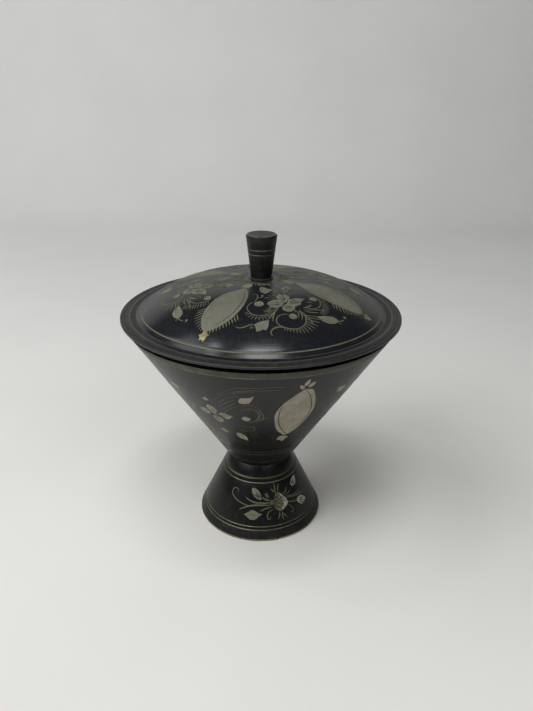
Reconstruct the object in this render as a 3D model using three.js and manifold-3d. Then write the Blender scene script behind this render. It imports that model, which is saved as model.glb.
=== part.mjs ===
// A lidded pedestal bowl of turned brass: a conical bowl bolted to a hollow conical foot, under a
// domed lid with a flat flange, a locating ring and a tapered knob. Millimetres, +Z up, the foot
// stands on z = 0 and the bowl's axis is the z axis.
import * as THREE from "three";
import { mergeVertices } from "three/addons/utils/BufferGeometryUtils.js";
import Module from "manifold-3d";

// Facets round the large turned pieces, and round the small ones.
const TURNED_SIDES = 72;
const SMALL_SIDES = 36;

// Foot: a hollow cone, narrow at the waist, with a flat web across its top.
const FOOT_HEIGHT = 47.1;
const FOOT_BASE_RADIUS = 44.6;
const WAIST_RADIUS = 22.3;
const FOOT_WALL = 2;
const FOOT_WEB = 3;
const FOOT_EDGE_CHAMFER = 0.4;
const REGISTER_RADIUS = 7;
const REGISTER_CLEARANCE = 0.3;

// Bowl: a cone standing on the waist, with a square shoulder and an upstand at its mouth.
const BOWL_HEIGHT = 102.6;
const LIP_RADIUS = 87.2;
const BOWL_WALL = 2;
const BOWL_FLOOR = 5;
const FLOOR_FILLET = 6;
const SHOULDER_WIDTH = 4.4;
const UPSTAND_HEIGHT = 3.4;
const UPSTAND_WALL = 2;
const REGISTER_SHORT_OF_WEB = 0.3;

// Stud, washer and nut that draw the foot up against the bowl.
const STUD_RADIUS = 3;
const STUD_HOLE_CLEARANCE = 0.1;
const STUD_IN_BOWL = 6;
const STUD_PAST_NUT = 2;
const STUD_HOLE_SPARE = 0.4;
const FOOT_WASHER_RADIUS = 11;
const FOOT_WASHER_THICKNESS = 1.2;
const FOOT_NUT_ACROSS_FLATS = 10;
const FOOT_NUT_THICKNESS = 5;

// Lid: a dome with a nearly flat flange round it. It overhangs the bowl's lip, and the dome starts
// inside the bowl's mouth.
const LID_OVERHANG = 2.8;
const LID_EDGE_THICKNESS = 1.6;
const LID_EDGE_CHAMFER = 0.3;
const LID_WALL = 2;
const FLANGE_RISE = 0.2;
const DOME_INSIDE_LIP = 7.5;
const DOME_HEIGHT = 20.7;
const DOME_ROUNDNESS = 3;
const DOME_STEPS = 14;
const KNOB_SEAT_RADIUS = 8.6;

// Ring soldered under the lid, which drops inside the bowl's upstand.
const RING_HEIGHT = 7;
const RING_WALL = 1.6;
const RING_CLEARANCE = 0.7;

// Knob, the thin collar that it stands on, and the screw and washer that hold it from below.
const COLLAR_RADIUS = 7.6;
const COLLAR_HEIGHT = 0.8;
const KNOB_BASE_RADIUS = 6.6;
const KNOB_TOP_RADIUS = 9.8;
const KNOB_HEIGHT = 27.4;
const KNOB_EDGE_ROUND = 1.3;
const KNOB_EDGE_STEPS = 4;
const SCREW_RADIUS = 2;
const SCREW_CLEARANCE = 0.2;
const SCREW_IN_KNOB = 10;
const SCREW_HOLE_SPARE = 1;
const SCREW_HEAD_RADIUS = 4;
const SCREW_HEAD_HEIGHT = 2.4;
const SCREW_SLOT_WIDTH = 1;
const SCREW_SLOT_DEPTH = 1.1;
const SCREW_WASHER_RADIUS = 6;
const SCREW_WASHER_THICKNESS = 1;
const WASHER_SEAT_SPARE = 1;

// Turned lines: V grooves, each placed by its distance along the surface that it is cut in.
const LINE_WIDTH = 1.1;
const LINE_DEPTH = 0.35;
const FOOT_LINES_FROM_WAIST = [8, 11.3, 41.9, 44.3];
const BOWL_LINES_FROM_WAIST = [18.8, 23];
const BOWL_LINE_FROM_LIP = 5.6;
const DOME_LINE_FROM_FLANGE = 2.7;
const FLANGE_LINES_FROM_EDGE = [3.1, 6.2];
const KNOB_LINES_FROM_TOP = [8.6, 11.7];

// Radii and heights that follow from the sizes above.
const lidRadius = LIP_RADIUS + LID_OVERHANG;
const domeRadius = LIP_RADIUS - DOME_INSIDE_LIP;
const domeLineRadius = domeRadius - DOME_LINE_FROM_FLANGE;
const lipZ = FOOT_HEIGHT + BOWL_HEIGHT;
const seatZ = lipZ + UPSTAND_HEIGHT;
const flangeEdgeZ = seatZ + LID_EDGE_THICKNESS;
const domeBaseZ = flangeEdgeZ + FLANGE_RISE;
const apexZ = domeBaseZ + DOME_HEIGHT;
const apexUndersideZ = apexZ - LID_WALL;
const knobBaseZ = apexZ + COLLAR_HEIGHT;
const webUndersideZ = FOOT_HEIGHT - FOOT_WEB;

const wasm = await Module();
wasm.setup();

const blackLacquer = (name) =>
  new THREE.MeshStandardMaterial({ name, color: 0x1c1e20, roughness: 0.35, metalness: 0.1 });
const bareBrass = (name) =>
  new THREE.MeshStandardMaterial({ name, color: 0x9a8450, roughness: 0.4, metalness: 0.9 });

// A straight run of a profile from a to b, with a V groove centred at each given distance from a.
// The groove is cut to the right of the run, which is the solid's side.
function grooved(a, b, distances) {
  const [start, end] = [new THREE.Vector2(...a), new THREE.Vector2(...b)];
  const along = end.clone().sub(start).normalize();
  const inward = new THREE.Vector2(-along.y, along.x);
  const points = [start];
  for (const distance of [...distances].sort((p, q) => p - q)) {
    const at = (s, depth) => start.clone().addScaledVector(along, s).addScaledVector(inward, depth);
    points.push(at(distance - LINE_WIDTH / 2, 0));
    points.push(at(distance, LINE_DEPTH));
    points.push(at(distance + LINE_WIDTH / 2, 0));
  }
  points.push(end);
  return points.map((p) => [p.x, p.y]);
}

// Points of a quarter round of the given radius between two directions, in degrees.
function arc([cx, cy], radius, fromDegrees, toDegrees, steps) {
  return Array.from({ length: steps + 1 }, (_, i) => {
    const angle = THREE.MathUtils.degToRad(fromDegrees + ((toDegrees - fromDegrees) * i) / steps);
    return [cx + radius * Math.cos(angle), cy + radius * Math.sin(angle)];
  });
}

// A solid turned on a lathe from a profile of [radius, height] points, upright on +Z. A profile
// that doesn't run from axis to axis is closed on itself.
function turned(profile, sides = TURNED_SIDES) {
  const points = profile.map(([radius, height]) => new THREE.Vector2(radius, height));
  if (points[0].x > 0 || points.at(-1).x > 0) points.push(points[0].clone());
  return new THREE.LatheGeometry(points, sides).rotateX(Math.PI / 2);
}

// A flat ring between two radii and two heights.
function turnedRing(inner, outer, bottom, top, sides) {
  return turned([[inner, bottom], [outer, bottom], [outer, top], [inner, top]], sides);
}

function toSolid(geometry) {
  const bare = geometry.clone().deleteAttribute("normal").deleteAttribute("uv");
  const merged = mergeVertices(bare, 1e-4);
  return new wasm.Manifold(
    new wasm.Mesh({
      numProp: 3,
      vertProperties: new Float32Array(merged.attributes.position.array),
      triVerts: new Uint32Array(merged.index.array),
    }),
  );
}

function toGeometry(solid) {
  const mesh = solid.getMesh();
  const geometry = new THREE.BufferGeometry();
  geometry.setAttribute("position", new THREE.BufferAttribute(mesh.vertProperties, 3));
  geometry.setIndex(new THREE.BufferAttribute(mesh.triVerts, 1));
  geometry.computeVertexNormals();
  return geometry;
}

function named(name, geometry, material) {
  const mesh = new THREE.Mesh(geometry, material);
  mesh.name = name;
  return mesh;
}

// The foot: outside cone, flat top, register hole, web, inside cone and the rim that it stands on.
function foot() {
  const lean = Math.atan2(FOOT_BASE_RADIUS - WAIST_RADIUS, FOOT_HEIGHT);
  const wallAcross = FOOT_WALL / Math.cos(lean);
  const outsideAt = (z) => WAIST_RADIUS + (FOOT_HEIGHT - z) * Math.tan(lean);
  const hole = REGISTER_RADIUS + REGISTER_CLEARANCE;
  const slant = Math.hypot(FOOT_BASE_RADIUS - WAIST_RADIUS, FOOT_HEIGHT);
  const outside = grooved(
    [outsideAt(FOOT_EDGE_CHAMFER), FOOT_EDGE_CHAMFER],
    [WAIST_RADIUS, FOOT_HEIGHT],
    FOOT_LINES_FROM_WAIST.map((d) => slant - FOOT_EDGE_CHAMFER / Math.cos(lean) - d),
  );
  return turned([
    [outsideAt(0) - wallAcross, 0],
    [outsideAt(0) - FOOT_EDGE_CHAMFER, 0],
    ...outside,
    [hole, FOOT_HEIGHT],
    [hole, webUndersideZ],
    [outsideAt(webUndersideZ) - wallAcross, webUndersideZ],
  ]);
}

// The bowl: register boss and stud hole below, outside cone, shoulder, upstand, and a straight
// mouth for the lid's ring above the inside cone.
function bowl() {
  const lean = Math.atan2(LIP_RADIUS - WAIST_RADIUS, BOWL_HEIGHT);
  const wallAcross = BOWL_WALL / Math.cos(lean);
  const insideAt = (z) => WAIST_RADIUS + (z - FOOT_HEIGHT) * Math.tan(lean) - wallAcross;
  const mouth = LIP_RADIUS - SHOULDER_WIDTH - UPSTAND_WALL;
  const mouthBottomZ = FOOT_HEIGHT + (mouth + wallAcross - WAIST_RADIUS) / Math.tan(lean);
  const floorZ = FOOT_HEIGHT + BOWL_FLOOR;
  const bossBottomZ = webUndersideZ + REGISTER_SHORT_OF_WEB;
  const stud = STUD_RADIUS + STUD_HOLE_CLEARANCE;
  const studHoleTopZ = bossBottomZ + STUD_IN_BOWL + STUD_HOLE_SPARE;
  const slant = Math.hypot(LIP_RADIUS - WAIST_RADIUS, BOWL_HEIGHT);
  const linesAt = [...BOWL_LINES_FROM_WAIST, slant - BOWL_LINE_FROM_LIP];
  const outside = grooved([WAIST_RADIUS, FOOT_HEIGHT], [LIP_RADIUS, lipZ], linesAt);
  return turned([
    [0, studHoleTopZ],
    [stud, studHoleTopZ],
    [stud, bossBottomZ],
    [REGISTER_RADIUS, bossBottomZ],
    [REGISTER_RADIUS, FOOT_HEIGHT],
    ...outside,
    [mouth + UPSTAND_WALL, lipZ],
    [mouth + UPSTAND_WALL, seatZ],
    [mouth, seatZ],
    [mouth, mouthBottomZ],
    [insideAt(floorZ + FLOOR_FILLET), floorZ + FLOOR_FILLET],
    [insideAt(floorZ + FLOOR_FILLET / 3) - FLOOR_FILLET / 3, floorZ + FLOOR_FILLET / 4],
    [insideAt(floorZ) - FLOOR_FILLET, floorZ],
    [0, floorZ],
  ]);
}

// The stud stands in the bowl's boss and passes down through the foot's web, washer and nut.
function joiningStud() {
  const top = webUndersideZ + REGISTER_SHORT_OF_WEB + STUD_IN_BOWL;
  const bottom = webUndersideZ - FOOT_WASHER_THICKNESS - FOOT_NUT_THICKNESS - STUD_PAST_NUT;
  return turned([[0, bottom], [STUD_RADIUS, bottom], [STUD_RADIUS, top], [0, top]], SMALL_SIDES);
}

function footWasher() {
  const inner = STUD_RADIUS + STUD_HOLE_CLEARANCE;
  const bottom = webUndersideZ - FOOT_WASHER_THICKNESS;
  return turnedRing(inner, FOOT_WASHER_RADIUS, bottom, webUndersideZ, SMALL_SIDES);
}

// A hexagon with a round hole, as a plate of the nut's thickness.
function footNut() {
  const corner = FOOT_NUT_ACROSS_FLATS / Math.sqrt(3);
  const outline = new THREE.Shape(
    Array.from({ length: 6 }, (_, i) => {
      const angle = (i * Math.PI) / 3;
      return new THREE.Vector2(corner * Math.cos(angle), corner * Math.sin(angle));
    }),
  );
  const hole = new THREE.Path();
  hole.absarc(0, 0, STUD_RADIUS + STUD_HOLE_CLEARANCE, 0, 2 * Math.PI, true);
  outline.holes.push(hole);
  const plate = { depth: FOOT_NUT_THICKNESS, bevelEnabled: false, curveSegments: SMALL_SIDES };
  const nutBottomZ = webUndersideZ - FOOT_WASHER_THICKNESS - FOOT_NUT_THICKNESS;
  return new THREE.ExtrudeGeometry(outline, plate).translate(0, 0, nutBottomZ);
}

// A dome's height at a radius: nearly flat at the middle, falling away to nothing at its edge.
const domeRise = (radius, edge, height) => height * (1 - (radius / edge) ** DOME_ROUNDNESS);

// The dome's curve between two radii, outside and in, in equal steps of radius.
function domeCurve(from, to, edge, baseZ, height) {
  return Array.from({ length: DOME_STEPS + 1 }, (_, i) => {
    const radius = from + ((to - from) * i) / DOME_STEPS;
    return [radius, baseZ + domeRise(radius, edge, height)];
  });
}

// The lid: seat and screw hole at the apex, dome, turned line, flange, and a flat underside from
// the edge to the hollow of the dome. The apex is flat inside and out.
function lid() {
  const screw = SCREW_RADIUS + SCREW_CLEARANCE;
  const outsideZ = (radius) => domeBaseZ + domeRise(radius, domeRadius, DOME_HEIGHT);
  const [lineIn, lineOut] = [domeLineRadius - LINE_WIDTH / 2, domeLineRadius + LINE_WIDTH / 2];
  const hollow = domeRadius - LID_WALL;
  const hollowHeight = apexUndersideZ - seatZ;
  const washerSeat = SCREW_WASHER_RADIUS + WASHER_SEAT_SPARE;
  const flangeTop = [lidRadius - LID_EDGE_CHAMFER, flangeEdgeZ];
  return turned([
    [screw, apexUndersideZ],
    [washerSeat, apexUndersideZ],
    ...domeCurve(washerSeat, hollow, hollow, seatZ, hollowHeight).slice(1),
    [lidRadius - LID_EDGE_CHAMFER, seatZ],
    [lidRadius, seatZ + LID_EDGE_CHAMFER],
    [lidRadius, flangeEdgeZ - LID_EDGE_CHAMFER],
    ...grooved(flangeTop, [domeRadius, domeBaseZ], FLANGE_LINES_FROM_EDGE),
    [lineOut, outsideZ(lineOut)],
    [domeLineRadius, outsideZ(domeLineRadius) - LINE_DEPTH],
    ...domeCurve(lineIn, KNOB_SEAT_RADIUS, domeRadius, domeBaseZ, DOME_HEIGHT).slice(0, -1),
    [KNOB_SEAT_RADIUS, apexZ],
    [screw, apexZ],
  ]);
}

function lidLocatingRing() {
  const outer = LIP_RADIUS - SHOULDER_WIDTH - UPSTAND_WALL - RING_CLEARANCE;
  return turnedRing(outer - RING_WALL, outer, seatZ - RING_HEIGHT, seatZ);
}

function knobCollar() {
  return turnedRing(SCREW_RADIUS + SCREW_CLEARANCE, COLLAR_RADIUS, apexZ, knobBaseZ, SMALL_SIDES);
}

// The knob: a taper that widens upwards, with two turned lines, a rounded top edge and a blind
// hole for its screw.
function knob() {
  const top = knobBaseZ + KNOB_HEIGHT;
  const screw = SCREW_RADIUS + SCREW_CLEARANCE;
  const holeTop = apexZ + COLLAR_HEIGHT + SCREW_IN_KNOB + SCREW_HOLE_SPARE;
  const roundCentre = [KNOB_TOP_RADIUS - KNOB_EDGE_ROUND, top - KNOB_EDGE_ROUND];
  const taper = grooved(
    [KNOB_BASE_RADIUS, knobBaseZ],
    [KNOB_TOP_RADIUS, top - KNOB_EDGE_ROUND],
    KNOB_LINES_FROM_TOP.map((d) => KNOB_HEIGHT - d),
  );
  return turned(
    [
      [0, holeTop],
      [screw, holeTop],
      [screw, knobBaseZ],
      ...taper.slice(0, -1),
      ...arc(roundCentre, KNOB_EDGE_ROUND, 0, 90, KNOB_EDGE_STEPS),
      [0, top],
    ],
    SMALL_SIDES,
  );
}

function knobWasher() {
  const bottom = apexUndersideZ - SCREW_WASHER_THICKNESS;
  return turnedRing(SCREW_RADIUS + SCREW_CLEARANCE, SCREW_WASHER_RADIUS, bottom, apexUndersideZ, SMALL_SIDES);
}

// A cheese-head screw, head down, with a slot cut across the head.
function knobScrew() {
  const headTop = apexUndersideZ - SCREW_WASHER_THICKNESS;
  const headBottom = headTop - SCREW_HEAD_HEIGHT;
  const tip = knobBaseZ + SCREW_IN_KNOB;
  const blank = turned(
    [
      [0, headBottom],
      [SCREW_HEAD_RADIUS, headBottom],
      [SCREW_HEAD_RADIUS, headTop],
      [SCREW_RADIUS, headTop],
      [SCREW_RADIUS, tip],
      [0, tip],
    ],
    SMALL_SIDES,
  );
  const slot = new THREE.BoxGeometry(3 * SCREW_HEAD_RADIUS, SCREW_SLOT_WIDTH, 2 * SCREW_SLOT_DEPTH);
  slot.translate(0, 0, headBottom);
  return toGeometry(toSolid(blank).subtract(toSolid(slot)));
}

const base = new THREE.Group();
base.add(
  named("foot", foot(), blackLacquer("foot_lacquer")),
  named("bowl", bowl(), blackLacquer("bowl_lacquer")),
  named("joining_stud", joiningStud(), bareBrass("stud_brass")),
  named("foot_washer", footWasher(), bareBrass("washer_brass")),
  named("foot_nut", footNut(), bareBrass("nut_brass")),
);

const liftedLid = new THREE.Group();
liftedLid.add(
  named("lid", lid(), blackLacquer("lid_lacquer")),
  named("lid_locating_ring", lidLocatingRing(), bareBrass("ring_brass")),
  named("knob_collar", knobCollar(), bareBrass("collar_brass")),
  named("knob", knob(), blackLacquer("knob_lacquer")),
  named("knob_washer", knobWasher(), bareBrass("knob_washer_brass")),
  named("knob_screw", knobScrew(), bareBrass("knob_screw_brass")),
);

const lidded_bowl = new THREE.Group();
lidded_bowl.add(base, liftedLid);

export default lidded_bowl;
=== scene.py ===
import math

import bpy
import numpy as np
from mathutils import Matrix, Vector


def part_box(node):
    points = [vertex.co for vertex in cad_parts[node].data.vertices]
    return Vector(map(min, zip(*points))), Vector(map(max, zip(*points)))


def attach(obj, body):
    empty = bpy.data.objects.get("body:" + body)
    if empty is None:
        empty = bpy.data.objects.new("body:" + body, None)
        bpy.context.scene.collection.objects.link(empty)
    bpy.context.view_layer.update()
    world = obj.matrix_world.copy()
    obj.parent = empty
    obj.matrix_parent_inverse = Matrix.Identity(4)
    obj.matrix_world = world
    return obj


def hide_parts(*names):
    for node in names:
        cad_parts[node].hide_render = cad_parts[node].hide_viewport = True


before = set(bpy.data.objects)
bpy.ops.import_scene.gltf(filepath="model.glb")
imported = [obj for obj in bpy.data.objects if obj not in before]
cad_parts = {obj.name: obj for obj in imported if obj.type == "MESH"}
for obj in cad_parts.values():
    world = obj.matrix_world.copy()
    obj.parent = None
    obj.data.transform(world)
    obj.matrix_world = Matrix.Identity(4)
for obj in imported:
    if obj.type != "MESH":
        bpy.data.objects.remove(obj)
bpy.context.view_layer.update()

# The viewpoint: a hand-held camera about 0.4 m in front of the bowl and a little above it, looking
# down at it. Its focal length is given in pixels of the photograph's long side.
CAMERA_PLACE = (-0.0021, -0.3697, 0.2873)
CAMERA_LOOKS_DOWN = math.radians(24.21)
CAMERA_TURNED = math.radians(0.905)
CAMERA_ROLLED = math.radians(0.527)
FOCAL_LENGTH_PIXELS = 600
PHOTO_LONG_SIDE_PIXELS = 711
SENSOR_LONG_SIDE = 36

bpy.ops.object.camera_add(location=CAMERA_PLACE)
camera = bpy.context.object
turn_left_or_right = Matrix.Rotation(-CAMERA_TURNED, 4, "Z")
tip_down = Matrix.Rotation(math.pi / 2 - CAMERA_LOOKS_DOWN, 4, "X")
roll = Matrix.Rotation(CAMERA_ROLLED, 4, "Z")
camera.rotation_euler = (turn_left_or_right @ tip_down @ roll).to_euler()
camera.data.sensor_width = SENSOR_LONG_SIDE
camera.data.lens = FOCAL_LENGTH_PIXELS / PHOTO_LONG_SIDE_PIXELS * SENSOR_LONG_SIDE
camera.data.clip_start = 0.01
bpy.context.scene.camera = camera

# The foot: a hollow cone of turned brass, open below, with a web across the waist that the bowl
# bolts to. It is lacquered black outside, and the turned lines are cut through to the metal.
# Sizes from here to the stage are in millimetres, and a finished mesh is in metres.
MM = 0.001
TURNED_SIDES = 256
SMALL_SIDES = 96
CORNER_ROUND = 0.12
CORNER_SEGMENTS = 2
CORNER_ANGLE = math.radians(22)
SMOOTH_ANGLE = math.radians(40)

_, foot_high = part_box("foot")
FOOT_HEIGHT = foot_high.z / MM
FOOT_BASE_RADIUS = foot_high.x / MM
WAIST_RADIUS = 22.3
FOOT_WALL = 2
FOOT_WEB = 3
FOOT_EDGE_CHAMFER = 0.4
FOOT_WORN_STRIP = 1.2
REGISTER_HOLE_RADIUS = 7.3
FOOT_LEAN = math.atan2(FOOT_BASE_RADIUS - WAIST_RADIUS, FOOT_HEIGHT)
FOOT_WALL_ACROSS = FOOT_WALL / math.cos(FOOT_LEAN)
# Each line is its distance down the slope from the waist, its width and its finish.
FOOT_LINES = [
    (8.4, 1.1, "dull_line"),
    (11.7, 0.6, "cut_line"),
    (41.9, 0.65, "cut_line"),
    (44.3, 0.65, "cut_line"),
]
LINE_DEPTH_SHARE = 0.28
LATHE_WELD = 0.002


def straight(start, end, lines, finish="lacquer"):
    """A straight run of an outline, with V grooves, each given by its place, width and finish."""
    start, end = Vector(start), Vector(end)
    along = (end - start).normalized()
    inward = Vector((-along.y, along.x))
    run = [(*start, finish)]
    for distance, width, cut in sorted(lines):
        middle = start + along * distance
        run.append((*(middle - along * width / 2), cut))
        run.append((*(middle + inward * width * LINE_DEPTH_SHARE), cut))
        run.append((*(middle + along * width / 2), finish))
    return run


def deselect_all():
    if bpy.context.mode != "OBJECT":
        bpy.ops.object.mode_set(mode="OBJECT")
    bpy.ops.object.select_all(action="DESELECT")


def select_only(piece):
    deselect_all()
    piece.select_set(True)
    bpy.context.view_layer.objects.active = piece


def name_piece(piece, name):
    piece.name = name
    piece.data.name = name


def shade_smooth(piece):
    """Smooth shading, with the real corners kept sharp."""
    select_only(piece)
    bpy.ops.object.shade_smooth_by_angle(angle=SMOOTH_ANGLE)


def apply_modifiers(piece):
    select_only(piece)
    for modifier in list(piece.modifiers):
        bpy.ops.object.modifier_apply(modifier=modifier.name)


def turn_on_lathe(name, outline, finishes, sides=TURNED_SIDES, corner=CORNER_ROUND):
    """Spins an outline of (radius, height, finish of the run that starts there) round the axis."""
    deselect_all()
    radius, height, _ = outline[0]
    bpy.ops.mesh.primitive_plane_add(size=MM, location=(radius * MM, 0, height * MM))
    piece = bpy.context.object
    name_piece(piece, name)
    bpy.ops.object.transform_apply(location=True, rotation=True, scale=True)
    bpy.ops.object.mode_set(mode="EDIT")
    bpy.ops.mesh.select_all(action="SELECT")
    bpy.ops.mesh.merge(type="CENTER")
    closing = [] if radius == 0 and outline[-1][0] == 0 else [outline[0]]
    for next_radius, next_height, _ in outline[1:] + closing:
        step = ((next_radius - radius) * MM, 0, (next_height - height) * MM)
        bpy.ops.mesh.extrude_vertices_move(TRANSFORM_OT_translate={"value": step})
        radius, height = next_radius, next_height
    bpy.ops.mesh.select_all(action="SELECT")
    bpy.ops.mesh.spin(steps=sides, angle=math.tau, center=(0, 0, 0), axis=(0, 0, 1))
    bpy.ops.mesh.select_all(action="SELECT")
    bpy.ops.mesh.remove_doubles(threshold=LATHE_WELD * MM)
    bpy.ops.mesh.normals_make_consistent(inside=False)
    bpy.ops.object.mode_set(mode="OBJECT")
    names = list(finishes)
    for material in finishes.values():
        piece.data.materials.append(material)
    ring = outline + [outline[0]]
    middles = np.array([[(a[0] + b[0]) / 2, (a[1] + b[1]) / 2] for a, b in zip(ring, ring[1:])])
    for face in piece.data.polygons:
        across = math.hypot(face.center.x, face.center.y) / MM
        nearest = np.hypot(middles[:, 0] - across, middles[:, 1] - face.center.z / MM).argmin()
        face.material_index = names.index(outline[nearest][2])
    if corner:
        bevel = piece.modifiers.new("rounded corners", "BEVEL")
        bevel.width = corner * MM
        bevel.segments = CORNER_SEGMENTS
        bevel.limit_method = "ANGLE"
        bevel.angle_limit = CORNER_ANGLE
        apply_modifiers(piece)
    shade_smooth(piece)
    return piece


def feed(tree, socket, value):
    """Links a socket to another node's result, or sets it to a plain value."""
    if isinstance(value, bpy.types.NodeSocket):
        tree.links.new(value, socket)
    else:
        socket.default_value = value


def new_node(tree, kind, **values):
    """A shader node, with its sockets or settings given by name."""
    node = tree.nodes.new(kind)
    for key, value in values.items():
        socket = node.inputs.get(key.replace("_", " "))
        if socket is None:
            setattr(node, key, value)
        else:
            feed(tree, socket, value)
    return node


def new_group(name, inputs, outputs):
    """An empty shader node group with named float or colour sockets."""
    tree = bpy.data.node_groups.new(name, "ShaderNodeTree")
    for key, value in inputs.items():
        kind = "NodeSocketColor" if isinstance(value, tuple) else "NodeSocketFloat"
        tree.interface.new_socket(key, in_out="INPUT", socket_type=kind).default_value = value
    for key, kind in outputs.items():
        tree.interface.new_socket(key, in_out="OUTPUT", socket_type=kind)
    return tree, tree.nodes.new("NodeGroupInput").outputs, tree.nodes.new("NodeGroupOutput").inputs


def own_place(tree):
    """Where each point is on its piece, in metres."""
    return tree.nodes.new("ShaderNodeTexCoord").outputs["Object"]


def maths(tree, operation, first, second=0.0, third=0.0):
    node = new_node(tree, "ShaderNodeMath", operation=operation)
    for socket, value in zip(node.inputs, (first, second, third)):
        feed(tree, socket, value)
    return node.outputs[0]


def mapped(tree, value, low, high, to_low=0.0, to_high=1.0):
    """A value carried smoothly from one range to another, and held at its ends."""
    span = {"From_Min": low, "From_Max": high, "To_Min": to_low, "To_Max": to_high}
    node = new_node(tree, "ShaderNodeMapRange", interpolation_type="SMOOTHSTEP", Value=value, **span)
    return node.outputs["Result"]


def mixed(tree, share, first, second):
    node = new_node(tree, "ShaderNodeMix", data_type="RGBA")
    sockets = (node.inputs["Factor"], node.inputs[6], node.inputs[7])
    for socket, value in zip(sockets, (share, first, second)):
        feed(tree, socket, value)
    return node.outputs[2]


def darker(colour, share):
    return tuple(share * part for part in colour[:3]) + (1,)


def noise_value(tree, vector, scale, detail=3.0, roughness=0.55, distortion=0.0):
    look = {"Scale": scale, "Detail": detail, "Roughness": roughness, "Distortion": distortion}
    return new_node(tree, "ShaderNodeTexNoise", Vector=vector, **look).outputs["Fac"]


def turning_marks_group():
    """Fine rings left by the lathe tool: they change quickly up the profile and slowly round it."""
    tree, given, put_out = new_group(
        "turning_marks", {"Rings": 900.0, "Wander": 0.35}, {"Height": "NodeSocketFloat"}
    )
    apart = new_node(tree, "ShaderNodeSeparateXYZ", Vector=own_place(tree)).outputs
    x_squared = maths(tree, "MULTIPLY", apart["X"], apart["X"])
    y_squared = maths(tree, "MULTIPLY", apart["Y"], apart["Y"])
    radius = maths(tree, "SQRT", maths(tree, "ADD", x_squared, y_squared))
    up_profile = maths(tree, "MULTIPLY_ADD", apart["Z"], 0.8, radius)
    safe = maths(tree, "MAXIMUM", radius, 0.0005)
    ring_number = maths(tree, "MULTIPLY", up_profile, given["Rings"])
    joined = new_node(tree, "ShaderNodeCombineXYZ", Z=ring_number)
    for axis in ("X", "Y"):
        round_it = maths(tree, "DIVIDE", apart[axis], safe)
        tree.links.new(maths(tree, "MULTIPLY", round_it, given["Wander"]), joined.inputs[axis])
    tree.links.new(noise_value(tree, joined.outputs[0], 1.0, 4.0, 0.65), put_out["Height"])
    return tree


def scuffs_group():
    """Hair scratches from handling and cleaning, and a scatter of small specks."""
    results = {"Scratches": "NodeSocketFloat", "Specks": "NodeSocketFloat"}
    tree, given, put_out = new_group("scuffs", {"Size": 90.0, "Amount": 0.5}, results)
    place = own_place(tree)
    streaks = [
        ((0.3, 0.5, 0.2), (1, 14, 1)),
        ((1.1, 0.2, 0.9), (16, 1, 1)),
        ((0.7, 1.3, 0.1), (1, 1, 15)),
    ]
    found = []
    for turned, stretched in streaks:
        lay = new_node(tree, "ShaderNodeMapping", Vector=place, Rotation=turned, Scale=stretched)
        streak = noise_value(tree, lay.outputs[0], given["Size"], 2.0, 0.5, 0.4)
        found.append(mapped(tree, streak, 0.66, 0.74))
    either = maths(tree, "MAXIMUM", found[0], maths(tree, "MAXIMUM", found[1], found[2]))
    tree.links.new(maths(tree, "MULTIPLY", either, given["Amount"]), put_out["Scratches"])
    cell_scale = maths(tree, "MULTIPLY", given["Size"], 6.0)
    cells = new_node(tree, "ShaderNodeTexVoronoi", Vector=place, Scale=cell_scale)
    near = mapped(tree, cells.outputs["Distance"], 0.10, 0.20, 1.0, 0.0)
    some = mapped(tree, noise_value(tree, place, 260.0, 2.0), 0.56, 0.66)
    specks = maths(tree, "MULTIPLY", near, some)
    tree.links.new(maths(tree, "MULTIPLY", specks, given["Amount"]), put_out["Specks"])
    return tree


def mottle_group():
    """Slow uneven colour, as lacquer and tarnish have: a broad share and a fine one."""
    results = {"Broad": "NodeSocketFloat", "Fine": "NodeSocketFloat"}
    tree, given, put_out = new_group("mottle", {"Size": 30.0}, results)
    place = own_place(tree)
    broad = noise_value(tree, place, given["Size"], 3.0, 0.6, 0.6)
    tree.links.new(mapped(tree, broad, 0.35, 0.65), put_out["Broad"])
    fine = noise_value(tree, place, maths(tree, "MULTIPLY", given["Size"], 9.0), 3.0, 0.6)
    tree.links.new(mapped(tree, fine, 0.4, 0.62), put_out["Fine"])
    return tree


def rubbed_patches_group():
    """Ragged patches where handling has rubbed the lacquer away."""
    tree, given, put_out = new_group("rubbed_patches", {"Bared": 0.5}, {"Patches": "NodeSocketFloat"})
    spread = noise_value(tree, own_place(tree), 210.0, 5.0, 0.7)
    low = maths(tree, "MULTIPLY_ADD", given["Bared"], -0.3, 0.62)
    high = maths(tree, "MULTIPLY_ADD", given["Bared"], -0.3, 0.68)
    tree.links.new(mapped(tree, spread, low, high), put_out["Patches"])
    return tree


TURNING_MARKS = turning_marks_group()
SCUFFS = scuffs_group()
MOTTLE = mottle_group()
RUBBED_PATCHES = rubbed_patches_group()


def placed_group(tree, group, **values):
    node = tree.nodes.new("ShaderNodeGroup")
    node.node_tree = group
    for key, value in values.items():
        node.inputs[key].default_value = value
    return node.outputs


def new_surface(name):
    """A new material, its node tree and its Principled shader."""
    material = bpy.data.materials.new(name)
    material.use_nodes = True
    return material, material.node_tree, material.node_tree.nodes["Principled BSDF"]


def raise_bump(tree, shader, height, distance, strength=1.0):
    bump = new_node(tree, "ShaderNodeBump", Height=height, Distance=distance, Strength=strength)
    tree.links.new(bump.outputs["Normal"], shader.inputs["Normal"])


SPECK_GREY = (0.12, 0.113, 0.1, 1)
SCRATCH_GREY = (0.07, 0.067, 0.06, 1)


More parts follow.
